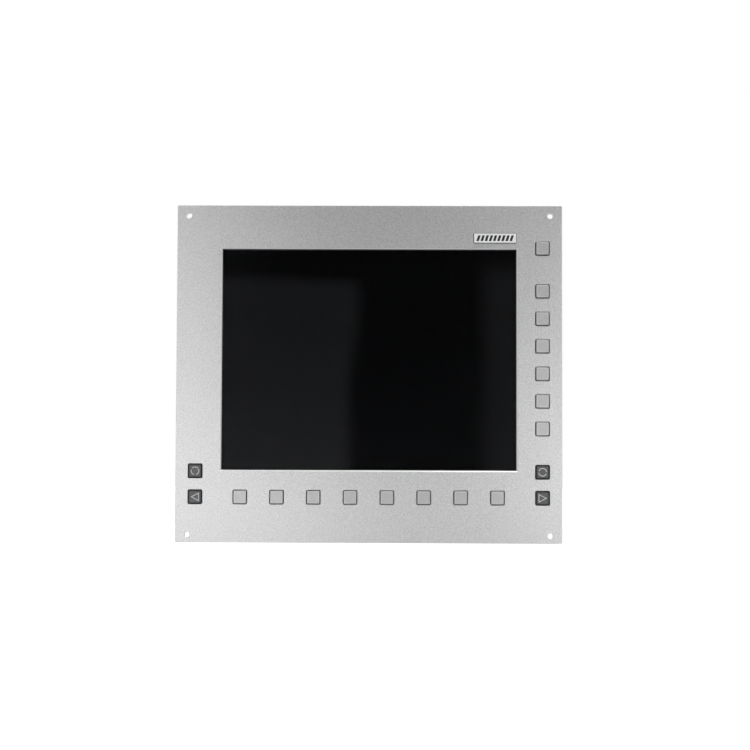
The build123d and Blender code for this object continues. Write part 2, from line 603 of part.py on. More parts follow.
def power_connector():
    """A three-way header for a plug-in screw terminal."""
    mid, pitch = BOARD_BACK + 4.5, 5.08
    body = block((POWER_X - 9, POWER_X + 9), (BOARD_BACK, BOARD_BACK + 9), (MOUTH_END, WALL_IN + 7))
    body -= block((POWER_X - 7.8, POWER_X + 7.8), (mid - 3.3, mid + 3.3), (MOUTH_END - 1, MOUTH_END + 8))
    for i in (-1, 0, 1):
        x = POWER_X + i * pitch
        body += block((x - 0.6, x + 0.6), (mid - 0.6, mid + 0.6), (MOUTH_END + 2, MOUTH_END + 8.5))
    return body


# ---- rear cover -------------------------------------------------------------------------------
def cover_body(inset, bend):
    """The cover's outline as a solid, set in by the sheet's thickness for the inside."""
    width = COVER_W / 2 - inset
    low, high = -COVER_H / 2 + inset, COVER_H / 2 - inset
    side = make_face(Polyline((0, low), (BAY_DEPTH - inset, low), (BAY_DEPTH - inset, BAY_TOP + inset),
                              (COVER_DEPTH - inset, BAY_TOP + inset), (COVER_DEPTH - inset, high),
                              (0, high), close=True))
    solid = Pos(-width, 0, 0) * extrude(Plane.YZ * side, 2 * width, dir=(1, 0, 0))
    bends = [edge for edge in solid.edges() if edge.bounding_box().max.Y > 1.0]
    return fillet(bends, bend)


def rear_cover():
    """A sheet-metal hood with a stepped-in connector bay, vents, and holes for its screws."""
    cover = cover_body(0.0, 2.0) - cover_body(SHEET, 0.5)
    for x, z in TALL_PILLARS + SHORT_PILLARS:
        cover -= rod(M4 + 0.25, 20, COVER_DEPTH + 1, x, z)
    cover -= rod(EARTH_NECK + THREAD_GAP, 20, BAY_DEPTH + 1, EARTH_X, EARTH_Z)
    vents = [(x * 9.0, z) for x in range(-14, 15) for z in (96, -56)]
    for x, z in vents:
        cover -= slab(3.0, 34.0, COVER_DEPTH - 4, COVER_DEPTH + 1, x=x, z=z, corner=1.4)
    for i in range(-9, 10):
        top_slot = Pos(i * 16.0, 34, COVER_H / 2) * Box(3.0, 24.0, 6.0)
        cover -= fillet(top_slot.edges().filter_by(Axis.Z), 1.4)
    return cover - connector_cutouts()


def connector_cutouts():
    """Openings in the bay's upper wall, one to suit each connector."""
    low, high, room = BAY_TOP - 1, BAY_TOP + SHEET + 0.05, 0.4
    cuts = Part()
    for x, half, depth in ((POWER_X, 9, 9), (USB_X, 6, 11)):
        cuts += block((x - half - room, x + half + room),
                      (BOARD_BACK - room, BOARD_BACK + depth + room), (low, high))
    serial, video = BOARD_BACK + 6.4, BOARD_BACK + 6.0
    cuts += Pos(SERIAL_X, serial, low) * extrude(d_outline(17 + 2 * room, 8.6 + 2 * room), high - low)
    cuts += Pos(VIDEO_X, video, low) * extrude(Rectangle(26 + 2 * room, 9 + 2 * room), high - low)
    for x, y, half in ((SERIAL_X, serial, 12.5), (VIDEO_X, video, 16.5)):
        for sx in (-1, 1):
            cuts += upright_rod(1.5, low, high, x + sx * half, y)
    return cuts


def cover_screws():
    tall = [pan_screw(M4, COVER_DEPTH, 9, x, z) for x, z in TALL_PILLARS]
    return tall + [pan_screw(M4, BAY_DEPTH, 7.5, x, z) for x, z in SHORT_PILLARS]


def earth_stud():
    """The earth terminal in the bay: a clinched M4 stud, its head and neck held in the sheet."""
    inside = BAY_DEPTH - SHEET
    head = rod(4.5, inside - 2, inside, EARTH_X, EARTH_Z)
    neck = rod(EARTH_NECK, inside, BAY_DEPTH, EARTH_X, EARTH_Z)
    shank = rod(M4, BAY_DEPTH, BAY_DEPTH + EARTH_LENGTH, EARTH_X, EARTH_Z)
    tip = shank.faces().sort_by(Axis.Y)[-1].edges()
    return head + neck + chamfer(tip, 0.4)


def panel_gasket():
    """The foam seal between the plate and the cabinet, inside the mounting holes."""
    inner = (GASKET_W - 2 * GASKET_BAND, GASKET_H - 2 * GASKET_BAND)
    ring = slab(GASKET_W, GASKET_H, 0, GASKET_T, corner=4.0)
    return ring - slab(*inner, -1, GASKET_T + 1, corner=1.0)


# ---- everything, one file per node ------------------------------------------------------------
def main():
    os.makedirs("parts", exist_ok=True)
    save("front_plate", front_plate())
    save("badge_plate", badge_plate())
    save("window_seal", window_seal())
    save("touch_glass", touch_glass())
    save("touch_tail", touch_tail())
    save("lcd_pad", lcd_pad())
    save("lcd_bezel", lcd_bezel())
    save("lcd_cell", lcd_cell())
    save("backlight_unit", backlight_unit())
    save("lcd_bracket_left", lcd_bracket(-1))
    save("lcd_bracket_right", lcd_bracket(1))
    save("display_side_screws", *display_side_screws())

    for i, (x, z) in enumerate(ROW_KEYS):
        save(f"soft_key_{i + 1}", key_cap(x, z))
    for i, (x, z) in enumerate(SIDE_KEYS):
        save(f"side_key_{i + 1}", key_cap(x, z))
    save("top_key", key_cap(*TOP_KEY))
    save("screen_key_left", key_cap(*SCREEN_KEYS[0], ring_symbol(LEFT_RING_GAPS)))
    save("screen_key_right", key_cap(*SCREEN_KEYS[1], ring_symbol(RIGHT_RING_GAPS)))
    save("page_key_left", key_cap(*PAGE_KEYS[0], arrow_symbol(-1)))
    save("page_key_right", key_cap(*PAGE_KEYS[1], arrow_symbol(1)))

    board_top, board_low = RIGHT_STUDS[0][1] + 4.5, RIGHT_STUDS[-1][1] - 4.5
    left_top = LEFT_STUDS[0][1] + 4.5
    side = (board_top + board_low) / 2, board_top - board_low
    left = (left_top + board_low) / 2, left_top - board_low
    save("key_mat_bottom", key_mat(288, 20, 0, ROW_Z, ROW_KEYS))
    save("key_mat_right", key_mat(17, side[1] - 4, SIDE_BOARD_X, side[0], RIGHT_KEYS))
    save("key_mat_left", key_mat(17, left[1] - 4, -SIDE_BOARD_X, left[0], LEFT_KEYS))
    save("key_board_bottom", key_board(300, 26, 0, ROW_Z))
    save("key_board_right", key_board(19.5, side[1], SIDE_BOARD_X, side[0]))
    save("key_board_left", key_board(19.5, left[1], -SIDE_BOARD_X, left[0]))

    save("plate_studs", *plate_studs())
    save("stud_nuts", *stud_nuts())
    save("spacers", *spacers())
    save("chassis_plate", chassis_plate())
    save("board_posts", *board_posts())
    save("m3_screws", *m3_screws())
    save("video_board", main_board(VIDEO_BOARD_W, VIDEO_BOARD_X))
    save("power_board", main_board(POWER_BOARD_W, POWER_BOARD_X))
    save("board_chips", *board_chips())
    save("board_heatsink", board_heatsink())
    save("power_components", *power_components())
    save("display_lead", display_lead(VIDEO_X, 20.0, 0.6))
    save("backlight_lead", display_lead(POWER_X, 8.0, 1.6))
    save("keypad_leads", *keypad_leads())
    save("video_connector", *video_connector())
    save("serial_connector", *serial_connector())
    save("usb_connector", usb_connector())
    save("power_connector", power_connector())
    save("rear_cover", rear_cover())
    save("cover_pillars", *cover_pillars())
    save("cover_screws", *cover_screws())
    save("earth_stud", earth_stud())
    save("panel_gasket", panel_gasket())


main()
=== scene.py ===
"""The looks of the display panel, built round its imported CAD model. Metres, in the CAD's frame."""
import json
import math
import random

import bmesh
import bpy
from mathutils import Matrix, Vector

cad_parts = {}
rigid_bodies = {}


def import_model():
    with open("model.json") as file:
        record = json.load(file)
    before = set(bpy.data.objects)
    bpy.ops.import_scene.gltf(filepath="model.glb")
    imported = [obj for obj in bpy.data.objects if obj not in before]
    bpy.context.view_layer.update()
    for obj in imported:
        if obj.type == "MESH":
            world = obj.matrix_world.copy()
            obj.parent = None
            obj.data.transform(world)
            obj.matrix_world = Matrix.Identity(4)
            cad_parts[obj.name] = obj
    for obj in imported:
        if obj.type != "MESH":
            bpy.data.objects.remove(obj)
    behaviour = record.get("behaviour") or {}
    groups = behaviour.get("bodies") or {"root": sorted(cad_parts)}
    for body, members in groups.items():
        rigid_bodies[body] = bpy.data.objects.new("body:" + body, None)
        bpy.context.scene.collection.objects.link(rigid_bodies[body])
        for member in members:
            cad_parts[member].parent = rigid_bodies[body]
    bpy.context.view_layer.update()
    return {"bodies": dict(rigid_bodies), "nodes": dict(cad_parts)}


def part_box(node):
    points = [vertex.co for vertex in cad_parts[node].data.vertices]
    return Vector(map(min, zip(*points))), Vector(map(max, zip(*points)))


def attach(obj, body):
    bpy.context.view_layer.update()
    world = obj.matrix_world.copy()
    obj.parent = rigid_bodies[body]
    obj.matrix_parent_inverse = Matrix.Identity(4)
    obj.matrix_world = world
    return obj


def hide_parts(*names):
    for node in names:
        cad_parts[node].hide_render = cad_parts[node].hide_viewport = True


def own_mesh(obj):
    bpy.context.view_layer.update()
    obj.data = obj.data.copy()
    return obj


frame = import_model()
NODES = frame["nodes"]

MM = 0.001
KEYS = [name for name in frame["bodies"] if "key" in name]
DARK_KEYS = [name for name in KEYS if name.startswith(("screen", "page"))]
GREY_KEYS = [name for name in KEYS if name not in DARK_KEYS]
PANEL = "panel"


def lo(node):
    return Vector(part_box(node)[0])


def hi(node):
    return Vector(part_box(node)[1])


def mid(node):
    return (lo(node) + hi(node)) / 2


# ---- material building ------------------------------------------------------------------------
class Finish:
    """A procedural material: one Principled shader and the nodes that drive it."""

    def __init__(self, name, **sockets):
        self.material = bpy.data.materials.new(name)
        self.material.use_nodes = True
        self.tree = self.material.node_tree
        self.shader = self.tree.nodes["Principled BSDF"]
        self.coords = self.add("ShaderNodeTexCoord")
        self.place = self.coords.outputs["Object"]
        self.set(**sockets)

    def set(self, **sockets):
        """Set the shader's sockets; base_color means 'Base Color'."""
        for key, value in sockets.items():
            title = "IOR" if key == "ior" else key.replace("_", " ").title()
            self.plug(self.shader.inputs[title], value)
        return self

    def plug(self, socket, value):
        if isinstance(value, bpy.types.NodeSocket):
            self.tree.links.new(value, socket)
        elif socket.type == "RGBA" and len(value) == 3:
            socket.default_value = (*value, 1.0)
        else:
            socket.default_value = value

    def add(self, kind, inputs=None, **settings):
        node = self.tree.nodes.new(kind)
        for key, value in settings.items():
            setattr(node, key, value)
        for key, value in (inputs or {}).items():
            self.plug(node.inputs[key], value)
        return node

    def axis(self, letter, source=None):
        """One coordinate of a vector, the object's own place unless another is given."""
        split = self.add("ShaderNodeSeparateXYZ", {"Vector": source or self.place})
        return split.outputs[letter]

    def normal(self, letter):
        return self.axis(letter, self.coords.outputs["Normal"])

    def stretched(self, x, y, z, source=None):
        node = self.add("ShaderNodeMapping", {"Vector": source or self.place, "Scale": (x, y, z)})
        return node.outputs["Vector"]

    def noise(self, size, detail=3.0, rough=0.55, distortion=0.0, source=None):
        """Noise whose features are about size metres across, as a value near 0.5."""
        node = self.add("ShaderNodeTexNoise", {
            "Vector": source or self.place, "Scale": 1.0 / size, "Detail": detail,
            "Roughness": rough, "Distortion": distortion})
        return node.outputs["Fac"]

    def cells(self, size, feature="F1", output="Distance", source=None, metric="EUCLIDEAN"):
        node = self.add("ShaderNodeTexVoronoi", {"Vector": source or self.place, "Scale": 1.0 / size},
                        feature=feature, distance=metric)
        return node.outputs[output]

    def span(self, value, a, b, c=0.0, d=1.0):
        """Map a value from a..b to c..d, held at the ends."""
        node = self.add("ShaderNodeMapRange", {"Value": value, "From Min": a, "From Max": b,
                                               "To Min": c, "To Max": d})
        return node.outputs["Result"]

    def calc(self, operation, a, b=0.0):
        node = self.add("ShaderNodeMath", operation=operation)
        self.plug(node.inputs[0], a)
        self.plug(node.inputs[1], b)
        return node.outputs["Value"]

    def blend(self, fac, a, b):
        """Mix two colours."""
        node = self.add("ShaderNodeMix", data_type="RGBA")
        self.plug(node.inputs["Factor"], fac)
        self.plug(node.inputs[6], a)
        self.plug(node.inputs[7], b)
        return node.outputs[2]

    def ramp(self, fac, *stops):
        node = self.add("ShaderNodeValToRGB", {"Fac": fac})
        spots = node.color_ramp.elements
        while len(spots) < len(stops):
            spots.new(0.5)
        for spot, (place, color) in zip(spots, stops):
            spot.position = place
            spot.color = (*color, 1.0) if len(color) == 3 else color
        return node.outputs["Color"]

    def bump(self, height, depth, strength=1.0):
        """A bump of depth metres, chained onto any bump already there."""
        inputs = {"Height": height, "Distance": depth, "Strength": strength}
        last = self.shader.inputs["Normal"].links
        if last:
            inputs["Normal"] = last[0].from_socket
        node = self.add("ShaderNodeBump", inputs)
        self.plug(self.shader.inputs["Normal"], node.outputs["Normal"])
        return self

    def inside(self, letter, low, high, soft=0.0001):
        """1 where a coordinate lies between low and high, 0 outside."""
        value = self.axis(letter)
        up = self.span(value, low - soft, low + soft)
        down = self.span(value, high - soft, high + soft, 1.0, 0.0)
        return self.calc("MULTIPLY", up, down)

    def inside_box(self, low, high):
        """1 inside the box between two corners, 0 outside."""
        here = self.inside("X", low[0], high[0])
        for i, letter in ((1, "Y"), (2, "Z")):
            here = self.calc("MULTIPLY", here, self.inside(letter, low[i], high[i]))
        return here


def grey(level):
    """A neutral colour."""
    return (level, level, level)


# ---- metals -----------------------------------------------------------------------------------
CUT_OUT_MARGIN = 3 * MM                # from the plate's sides, and from the lowest and highest key


def blasted_aluminium():
    """Bead-blasted, clear-anodised plate: grained face and bright bevels; the walls of its cut-outs are
    painted near black as shade.
    """
    f = Finish("blasted_aluminium", metallic=1.0)
    coarse = f.noise(1.25 * MM, 1.0, 0.5)
    fine = f.noise(0.7 * MM, 1.0, 0.5)
    grain = f.calc("ADD", f.calc("MULTIPLY", coarse, 0.6), f.calc("MULTIPLY", fine, 0.4))
    face = f.ramp(grain, (0.30, grey(0.59)), (0.5, grey(0.735)), (0.70, grey(0.88)))
    facing = f.calc("ABSOLUTE", f.normal("Y"))
    flat = f.span(facing, 0.80, 0.97)
    left, right = lo("front_plate").x + CUT_OUT_MARGIN, hi("front_plate").x - CUT_OUT_MARGIN
    bottom, top = lo("page_key_left").z - CUT_OUT_MARGIN, hi("top_key").z + CUT_OUT_MARGIN
    cut_out = f.calc("MULTIPLY", f.inside("X", left, right), f.inside("Z", bottom, top))
    # Painted shade: inside the cut-out band, sideways-facing walls are coloured near black (0.04) for the
    # shade in the openings; elsewhere bare keeps the bright bevel colour.
    wall = f.calc("MULTIPLY", cut_out, f.span(facing, 0.2, 0.4, 1.0, 0.0))
    bare = f.blend(wall, grey(0.92), grey(0.04))
    f.set(base_color=f.blend(flat, bare, face))
    f.set(roughness=f.calc("ADD", f.span(flat, 0, 1, 0.30, 0.40), f.span(grain, 0.3, 0.7, 0.0, 0.06)))
    f.bump(grain, 0.030 * MM, 0.30)
    return f.material


def badge_metal():
    """Name plate: a bright, very fine satin face, with its bevels painted dark grey as shade."""
    f = Finish("badge_metal")
    satin = f.noise(0.5 * MM, 2.0, 0.5, source=f.stretched(1.0, 1.0, 6.0))
    front = f.span(f.normal("Y"), -0.97, -0.85, 1.0, 0.0)
    face = f.blend(f.span(satin, 0.3, 0.7), grey(0.94), grey(0.99))
    # Painted shade: faces that don't face front, the plate's bevels, are coloured dark grey (0.16) for the
    # shade on its edges.
    f.set(base_color=f.blend(front, grey(0.16), face), metallic=f.span(front, 0, 1, 1.0, 0.0))
    f.set(roughness=f.span(satin, 0.3, 0.7, 0.36, 0.46))
    return f.bump(satin, 0.01 * MM, 0.3).material


def rolled_steel(name, color, grain=(8.0, 8.0, 0.6), shine=0.34):
    """Cold-rolled, zinc-plated sheet: fine rolling lines, faint clouding and handling marks."""
    f = Finish(name, metallic=1.0)
    lines = f.noise(1.2 * MM, 3.0, 0.6, source=f.stretched(*grain))
    cloud = f.noise(35 * MM, 3.0, 0.6, 0.6)
    marks = f.noise(7 * MM, 5.0, 0.7, 2.0)
    dark = tuple(c * 0.80 for c in color)
    base = f.blend(f.span(cloud, 0.35, 0.68), dark, color)
    base = f.blend(f.span(lines, 0.3, 0.7, 0.0, 0.30), base, grey(0.82))
    base = f.blend(f.span(marks, 0.60, 0.72, 0.0, 0.25), base, (0.36, 0.35, 0.33))
    rough = f.calc("ADD", f.span(lines, 0.3, 0.7, shine - 0.05, shine + 0.06),
                   f.span(cloud, 0.3, 0.7, -0.03, 0.06))
    f.set(base_color=base, roughness=rough)
    f.bump(lines, 0.01 * MM, 0.35)
    return f.material


def galvanised_sheet():
    """Hot-dip galvanised sheet: interlocking crystals, each with its own tone and shine."""
    f = Finish("galvanised_sheet", metallic=1.0)
    wander = f.add("ShaderNodeTexNoise", {"Vector": f.place, "Scale": 1 / (14 * MM), "Detail": 3.0})
    shift = f.add("ShaderNodeVectorMath", {0: wander.outputs["Color"], "Scale": 8 * MM},
                  operation="SCALE")
    torn = f.add("ShaderNodeVectorMath", {0: f.place, 1: shift.outputs["Vector"]}, operation="ADD")
    torn = torn.outputs["Vector"]
    crystal = f.axis("X", f.cells(13 * MM, output="Color", source=torn))
    facet = f.axis("Y", f.cells(5 * MM, output="Color", source=torn))
    seam = f.cells(13 * MM, "DISTANCE_TO_EDGE", source=torn)
    feather = f.noise(1.6 * MM, 3.0, 0.6, 0.8, source=f.stretched(1.0, 1.0, 0.35))
    tone = f.calc("ADD", f.calc("MULTIPLY", crystal, 0.6), f.calc("MULTIPLY", facet, 0.25))
    tone = f.calc("ADD", tone, f.calc("MULTIPLY", feather, 0.25))
    base = f.ramp(tone, (0.15, (0.50, 0.52, 0.54)), (0.55, (0.64, 0.66, 0.68)),
                  (0.95, (0.79, 0.80, 0.81)))
    base = f.blend(f.span(seam, 0.0, 0.02, 0.35, 0.0), base, (0.44, 0.46, 0.48))
    dirt = f.noise(45 * MM, 4.0, 0.65, 0.5)
    base = f.blend(f.span(dirt, 0.55, 0.80, 0.0, 0.22), base, (0.42, 0.41, 0.39))
    f.set(base_color=base, roughness=f.span(tone, 0.1, 0.95, 0.46, 0.27))
    f.bump(feather, 0.02 * MM, 0.30)
    f.bump(f.span(seam, 0.0, 0.03), 0.01 * MM, 0.35)
    return f.material


def plated_steel(name, color, shine=0.28):
    """Small turned or pressed steel parts: bright plating with fine turning marks."""
    f = Finish(name, metallic=1.0)
    turned = f.noise(0.35 * MM, 2.0, 0.5, source=f.stretched(1.0, 5.0, 1.0))
    stain = f.noise(3.0 * MM, 4.0, 0.7, 0.8)
    warm = (color[0] * 0.92, color[1] * 0.88, color[2] * 0.76)
    base = f.blend(f.span(stain, 0.42, 0.70, 0.0, 0.6), color, warm)
    base = f.blend(f.span(turned, 0.3, 0.7, 0.0, 0.25), base, grey(0.40))
    f.set(base_color=base, roughness=f.span(stain, 0.3, 0.7, shine - 0.06, shine + 0.10))
    f.bump(turned, 0.008 * MM, 0.4)
    return f.material


def brass():
    """Nickel-tinged brass standoffs, slightly tarnished."""
    f = Finish("post_brass", metallic=1.0)
    tarnish = f.noise(2.5 * MM, 4.0, 0.65, 0.5)
    turned = f.noise(0.3 * MM, 2.0, 0.5, source=f.stretched(1.0, 5.0, 1.0))
    f.set(base_color=f.ramp(tarnish, (0.30, (0.45, 0.30, 0.12)), (0.70, (0.80, 0.60, 0.28))))
    f.set(roughness=f.span(tarnish, 0.3, 0.7, 0.42, 0.24))
    return f.bump(turned, 0.008 * MM, 0.4).material


def black_anodised():
    """Extruded heatsink, black anodised, with its extrusion lines."""
    f = Finish("heatsink_black", metallic=0.55)
    lines = f.noise(0.5 * MM, 2.0, 0.5, source=f.stretched(6.0, 6.0, 0.5))
    dust = f.noise(9 * MM, 4.0, 0.65)
    f.set(base_color=f.blend(f.span(dust, 0.45, 0.75, 0.0, 0.5), (0.018, 0.018, 0.020), grey(0.06)))
    f.set(roughness=f.span(lines, 0.3, 0.7, 0.36, 0.52))
    return f.bump(lines, 0.012 * MM, 0.4).material


# ---- keys and display -------------------------------------------------------------------------
def key_finish(name, face, rim, edge, metallic):
    """A satin key cap: fine grain on its sunk face, a rim of another tone, and bevels and sides painted
    darker as shade.
    """
    f = Finish(name, metallic=metallic)
    grain = f.noise(0.7 * MM, 2.0, 0.5)
    wear = f.noise(5.0 * MM, 3.0, 0.6)
    tone = f.calc("ADD", f.calc("MULTIPLY", grain, 0.5), f.calc("MULTIPLY", wear, 0.5))
    darker, lighter = tuple(c * 0.93 for c in face), tuple(c * 1.07 for c in face)
    sunk = f.span(f.axis("Y"), RIM_Y + FACE_SUNK / 3, RIM_Y + FACE_SUNK * 2 / 3)
    facing = f.span(f.normal("Y"), -0.99, -0.9, 1.0, 0.0)
    base = f.blend(f.span(tone, 0.35, 0.65), darker, lighter)
    front = f.blend(f.calc("MULTIPLY", sunk, facing), rim, base)
    # Painted shade: faces that don't face front (the cap's bevels and sides) take the edge colour, darker
    # than the face.
    f.set(base_color=f.blend(facing, edge, front), roughness=f.span(grain, 0.3, 0.7, 0.40, 0.48))
    return f.bump(grain, 0.012 * MM, 0.30).material


def cover_glass():
    """Touch glass: clear, faintly grey, with the last of the fingerprints wiped across it."""
    f = Finish("touch_glass", transmission_weight=1.0, ior=1.5, base_color=(0.93, 0.94, 0.95))
    wiped = f.noise(18 * MM, 4.0, 0.6, 1.2, source=f.stretched(1.0, 1.0, 0.45))
    f.set(roughness=f.span(wiped, 0.50, 0.78, 0.0, 0.035))
    return f.material


def display_black():
    """The unlit liquid-crystal cell: black, with a faint grid."""
    f = Finish("display_black", ior=1.15)
    waves = [f.add("ShaderNodeTexWave", {"Vector": f.place, "Scale": 1 / (2.4 * MM)},
                   bands_direction=way).outputs["Fac"] for way in ("X", "Z")]
    grid = f.calc("MULTIPLY", *waves)
    f.set(base_color=f.blend(grid, (0.0012, 0.0012, 0.0016), (0.0022, 0.0022, 0.0030)))
    f.set(roughness=f.span(grid, 0.0, 1.0, 0.18, 0.24))
    return f.material


def symbol_paint():
    """Light, slightly cool ink in the keys' engraving."""
    f = Finish("symbol_paint")
    speck = f.noise(0.25 * MM, 2.0)
    f.set(base_color=f.blend(f.span(speck, 0.3, 0.7), (0.68, 0.71, 0.74), (0.80, 0.83, 0.85)))
    f.set(roughness=f.span(speck, 0.3, 0.7, 0.45, 0.60))
    return f.bump(speck, 0.01 * MM, 0.3).material


def badge_enamel():
    """Dark enamel in the name plate's bars, with a soft sheen where it pooled."""
    f = Finish("badge_enamel", coat_weight=0.4, coat_roughness=0.15)
    pool = f.noise(1.4 * MM, 3.0, 0.5)
    f.set(base_color=f.blend(f.span(pool, 0.35, 0.7), (0.010, 0.010, 0.012), (0.030, 0.030, 0.034)))
    f.set(roughness=f.span(pool, 0.3, 0.7, 0.30, 0.45))
    return f.bump(pool, 0.02 * MM, 0.3).material


# ---- plastics, rubbers, boards ----------------------------------------------------------------
def foam(name, color):
    """Closed-cell sealing foam, its cut cells showing as pits, bumped and painted darker as shade."""
    f = Finish(name, roughness=0.95, sheen_weight=0.25, sheen_roughness=0.6)
    pits = f.cells(0.55 * MM)
    patch = f.noise(6 * MM, 3.0)
    low, high = tuple(c * 0.55 for c in color), tuple(c * 1.35 for c in color)
    # Painted shade: the pits' centres are coloured darker (0.55 of the foam's colour); the patches vary at
    # random.
    f.set(base_color=f.blend(f.span(pits, 0.1, 0.7), low, f.blend(f.span(patch, 0.3, 0.7), color, high)))
    return f.bump(pits, 0.15 * MM, 0.6).material


def silicone():
    """Translucent grey keypad silicone with its moulded, talc-dusted skin."""
    f = Finish("mat_silicone", subsurface_weight=0.25, subsurface_radius=(0.002, 0.002, 0.002),
               subsurface_scale=0.6, ior=1.41)
    skin = f.noise(0.6 * MM, 2.0)
    dust = f.noise(7 * MM, 4.0, 0.65)
    f.set(base_color=f.blend(f.span(dust, 0.4, 0.7), (0.40, 0.41, 0.43), (0.55, 0.56, 0.57)))
    f.set(roughness=f.span(skin, 0.3, 0.7, 0.45, 0.62))
    return f.bump(skin, 0.015 * MM, 0.35).material


def circuit_board():
    """Solder-masked board: copper runs under green mask, plated vias, glass weave at the edges."""
    f = Finish("board_green", coat_weight=0.3, coat_roughness=0.12)
    x, z = f.axis("X"), f.axis("Z")
    flat = f.add("ShaderNodeCombineXYZ", {"X": x, "Y": z}).outputs["Vector"]
    runs = f.add("ShaderNodeTexBrick", {
        "Vector": flat, "Scale": 1 / (9 * MM), "Mortar Size": 0.055, "Mortar Smooth": 0.1,
        "Brick Width": 0.9, "Row Height": 0.17, "Color1": grey(0), "Color2": grey(0.12),
        "Mortar": grey(1)}, offset=0.37, squash=1.6, squash_frequency=3)
    area = f.cells(17 * MM, output="Color", source=flat, metric="CHEBYCHEV")
    routed = f.span(f.axis("X", area), 0.42, 0.44)
    copper = f.calc("MULTIPLY", f.axis("X", runs.outputs["Color"]), routed)
    pour = f.span(f.axis("Y", area), 0.62, 0.64)
    copper = f.calc("MAXIMUM", copper, f.calc("MULTIPLY", pour, 0.75))
    spot = f.cells(4.2 * MM, source=flat)
    via = f.span(spot, 0.085, 0.10, 1.0, 0.0)
    mask = f.blend(copper, (0.006, 0.060, 0.022), (0.020, 0.150, 0.050))
    mask = f.blend(f.span(f.noise(20 * MM), 0.35, 0.65, 0.0, 0.3), mask, (0.010, 0.085, 0.040))
    edge = f.span(f.calc("ABSOLUTE", f.normal("Y")), 0.3, 0.6, 1.0, 0.0)
    weave = f.noise(0.4 * MM, 2.0, source=f.stretched(1.0, 4.0, 1.0))
    laminate = f.blend(f.span(weave, 0.35, 0.65), (0.22, 0.21, 0.10), (0.34, 0.32, 0.17))
    plated = f.blend(via, mask, (0.78, 0.60, 0.30))
    f.set(base_color=f.blend(edge, plated, laminate), metallic=f.calc("MULTIPLY", via, 0.9))
    f.set(roughness=f.calc("ADD", f.span(edge, 0, 1, 0.30, 0.75), f.calc("MULTIPLY", via, 0.05)))
    return f.bump(copper, 0.035 * MM, 0.6).material


def moulded(name, color, shine=0.45, lighter=1.5):
    """Moulded or epoxy plastic: fine spark-eroded texture with faint flow marks."""
    f = Finish(name)
    texture = f.noise(0.25 * MM, 2.0)
    flow = f.noise(6 * MM, 3.0, 0.6, 0.5)
    pale = tuple(min(1.0, c * lighter) for c in color)
    f.set(base_color=f.blend(f.span(flow, 0.35, 0.70), color, pale))
    f.set(roughness=f.calc("ADD", f.span(texture, 0.3, 0.7, shine - 0.08, shine + 0.08),
                           f.span(flow, 0.3, 0.7, -0.03, 0.03)))
    return f.bump(texture, 0.012 * MM, 0.45).material


def nylon():
    """Natural nylon spacers with drawn surfaces."""
    f = Finish("spacer_nylon", subsurface_weight=0.3, subsurface_radius=(0.002, 0.0018, 0.0015),
               subsurface_scale=0.5)
    drawn = f.noise(0.4 * MM, 2.0, source=f.stretched(5.0, 1.0, 5.0))
    f.set(base_color=f.blend(f.span(drawn, 0.3, 0.7), (0.70, 0.68, 0.62), (0.82, 0.80, 0.75)))
    f.set(roughness=f.span(drawn, 0.3, 0.7, 0.38, 0.52))
    return f.bump(drawn, 0.01 * MM, 0.3).material


def capacitor_sleeve():
    """Power-board parts: black sleeves, with bare aluminium on the cans' tops."""
    f = Finish("component_black")
    top = hi("power_components").y
    can_top = f.calc("MULTIPLY", f.span(f.normal("Y"), 0.90, 0.97),
                     f.span(f.axis("Y"), top - 0.8 * MM, top - 0.4 * MM))
    shrink = f.noise(0.5 * MM, 3.0, source=f.stretched(1.0, 0.3, 1.0))
    sleeve = f.blend(f.span(shrink, 0.3, 0.7), (0.010, 0.011, 0.016), (0.035, 0.037, 0.045))
    f.set(base_color=f.blend(can_top, sleeve, (0.74, 0.75, 0.77)), metallic=can_top)
    f.set(roughness=f.span(shrink, 0.3, 0.7, 0.28, 0.42))
    return f.bump(shrink, 0.02 * MM, 0.4).material


def flat_lead(name, color, pitch, stripe=None):
    """Flat cable: parallel cores showing as ribs along its length, the grooves between them painted darker
    as shade.
    """
    f = Finish(name)
    across = f.axis("X")
    rib = f.calc("ABSOLUTE", f.calc("SINE", f.calc("MULTIPLY", across, math.pi / pitch)))
    scuff = f.noise(4 * MM, 3.0)
    dark = tuple(c * 0.72 for c in color)
    # Painted shade: the grooves between the cores are coloured darker (0.72 of the colour).
    base = f.blend(f.span(rib, 0.1, 0.6), dark, color)
    if stripe:
        low, high, tint = stripe
        base = f.blend(f.inside("X", low, high), base, tint)
    f.set(base_color=base, roughness=f.span(scuff, 0.3, 0.7, 0.38, 0.55))
    return f.bump(rib, 0.12 * MM, 0.6).material


def socket_metal(name, insert, boxes):
    """Tin-plated connector shells and pins, with moulded inserts inside the boxes given."""
    f = Finish(name)
    plastic = f.inside_box(*boxes[0])
    for low, high in boxes[1:]:
        plastic = f.calc("MAXIMUM", plastic, f.inside_box(low, high))
    stain = f.noise(2.5 * MM, 4.0, 0.65)
    texture = f.noise(0.25 * MM, 2.0)
    tin = f.blend(f.span(stain, 0.35, 0.7), (0.62, 0.62, 0.60), (0.80, 0.80, 0.79))
    tint = f.blend(f.span(texture, 0.3, 0.7), insert, tuple(c * 1.5 for c in insert))
    f.set(base_color=f.blend(plastic, tin, tint), metallic=f.span(plastic, 0, 1, 1.0, 0.0))
    f.set(roughness=f.calc("ADD", f.span(stain, 0.3, 0.7, 0.24, 0.38), f.calc("MULTIPLY", plastic, 0.2)))
    return f.bump(texture, 0.008 * MM, 0.4).material


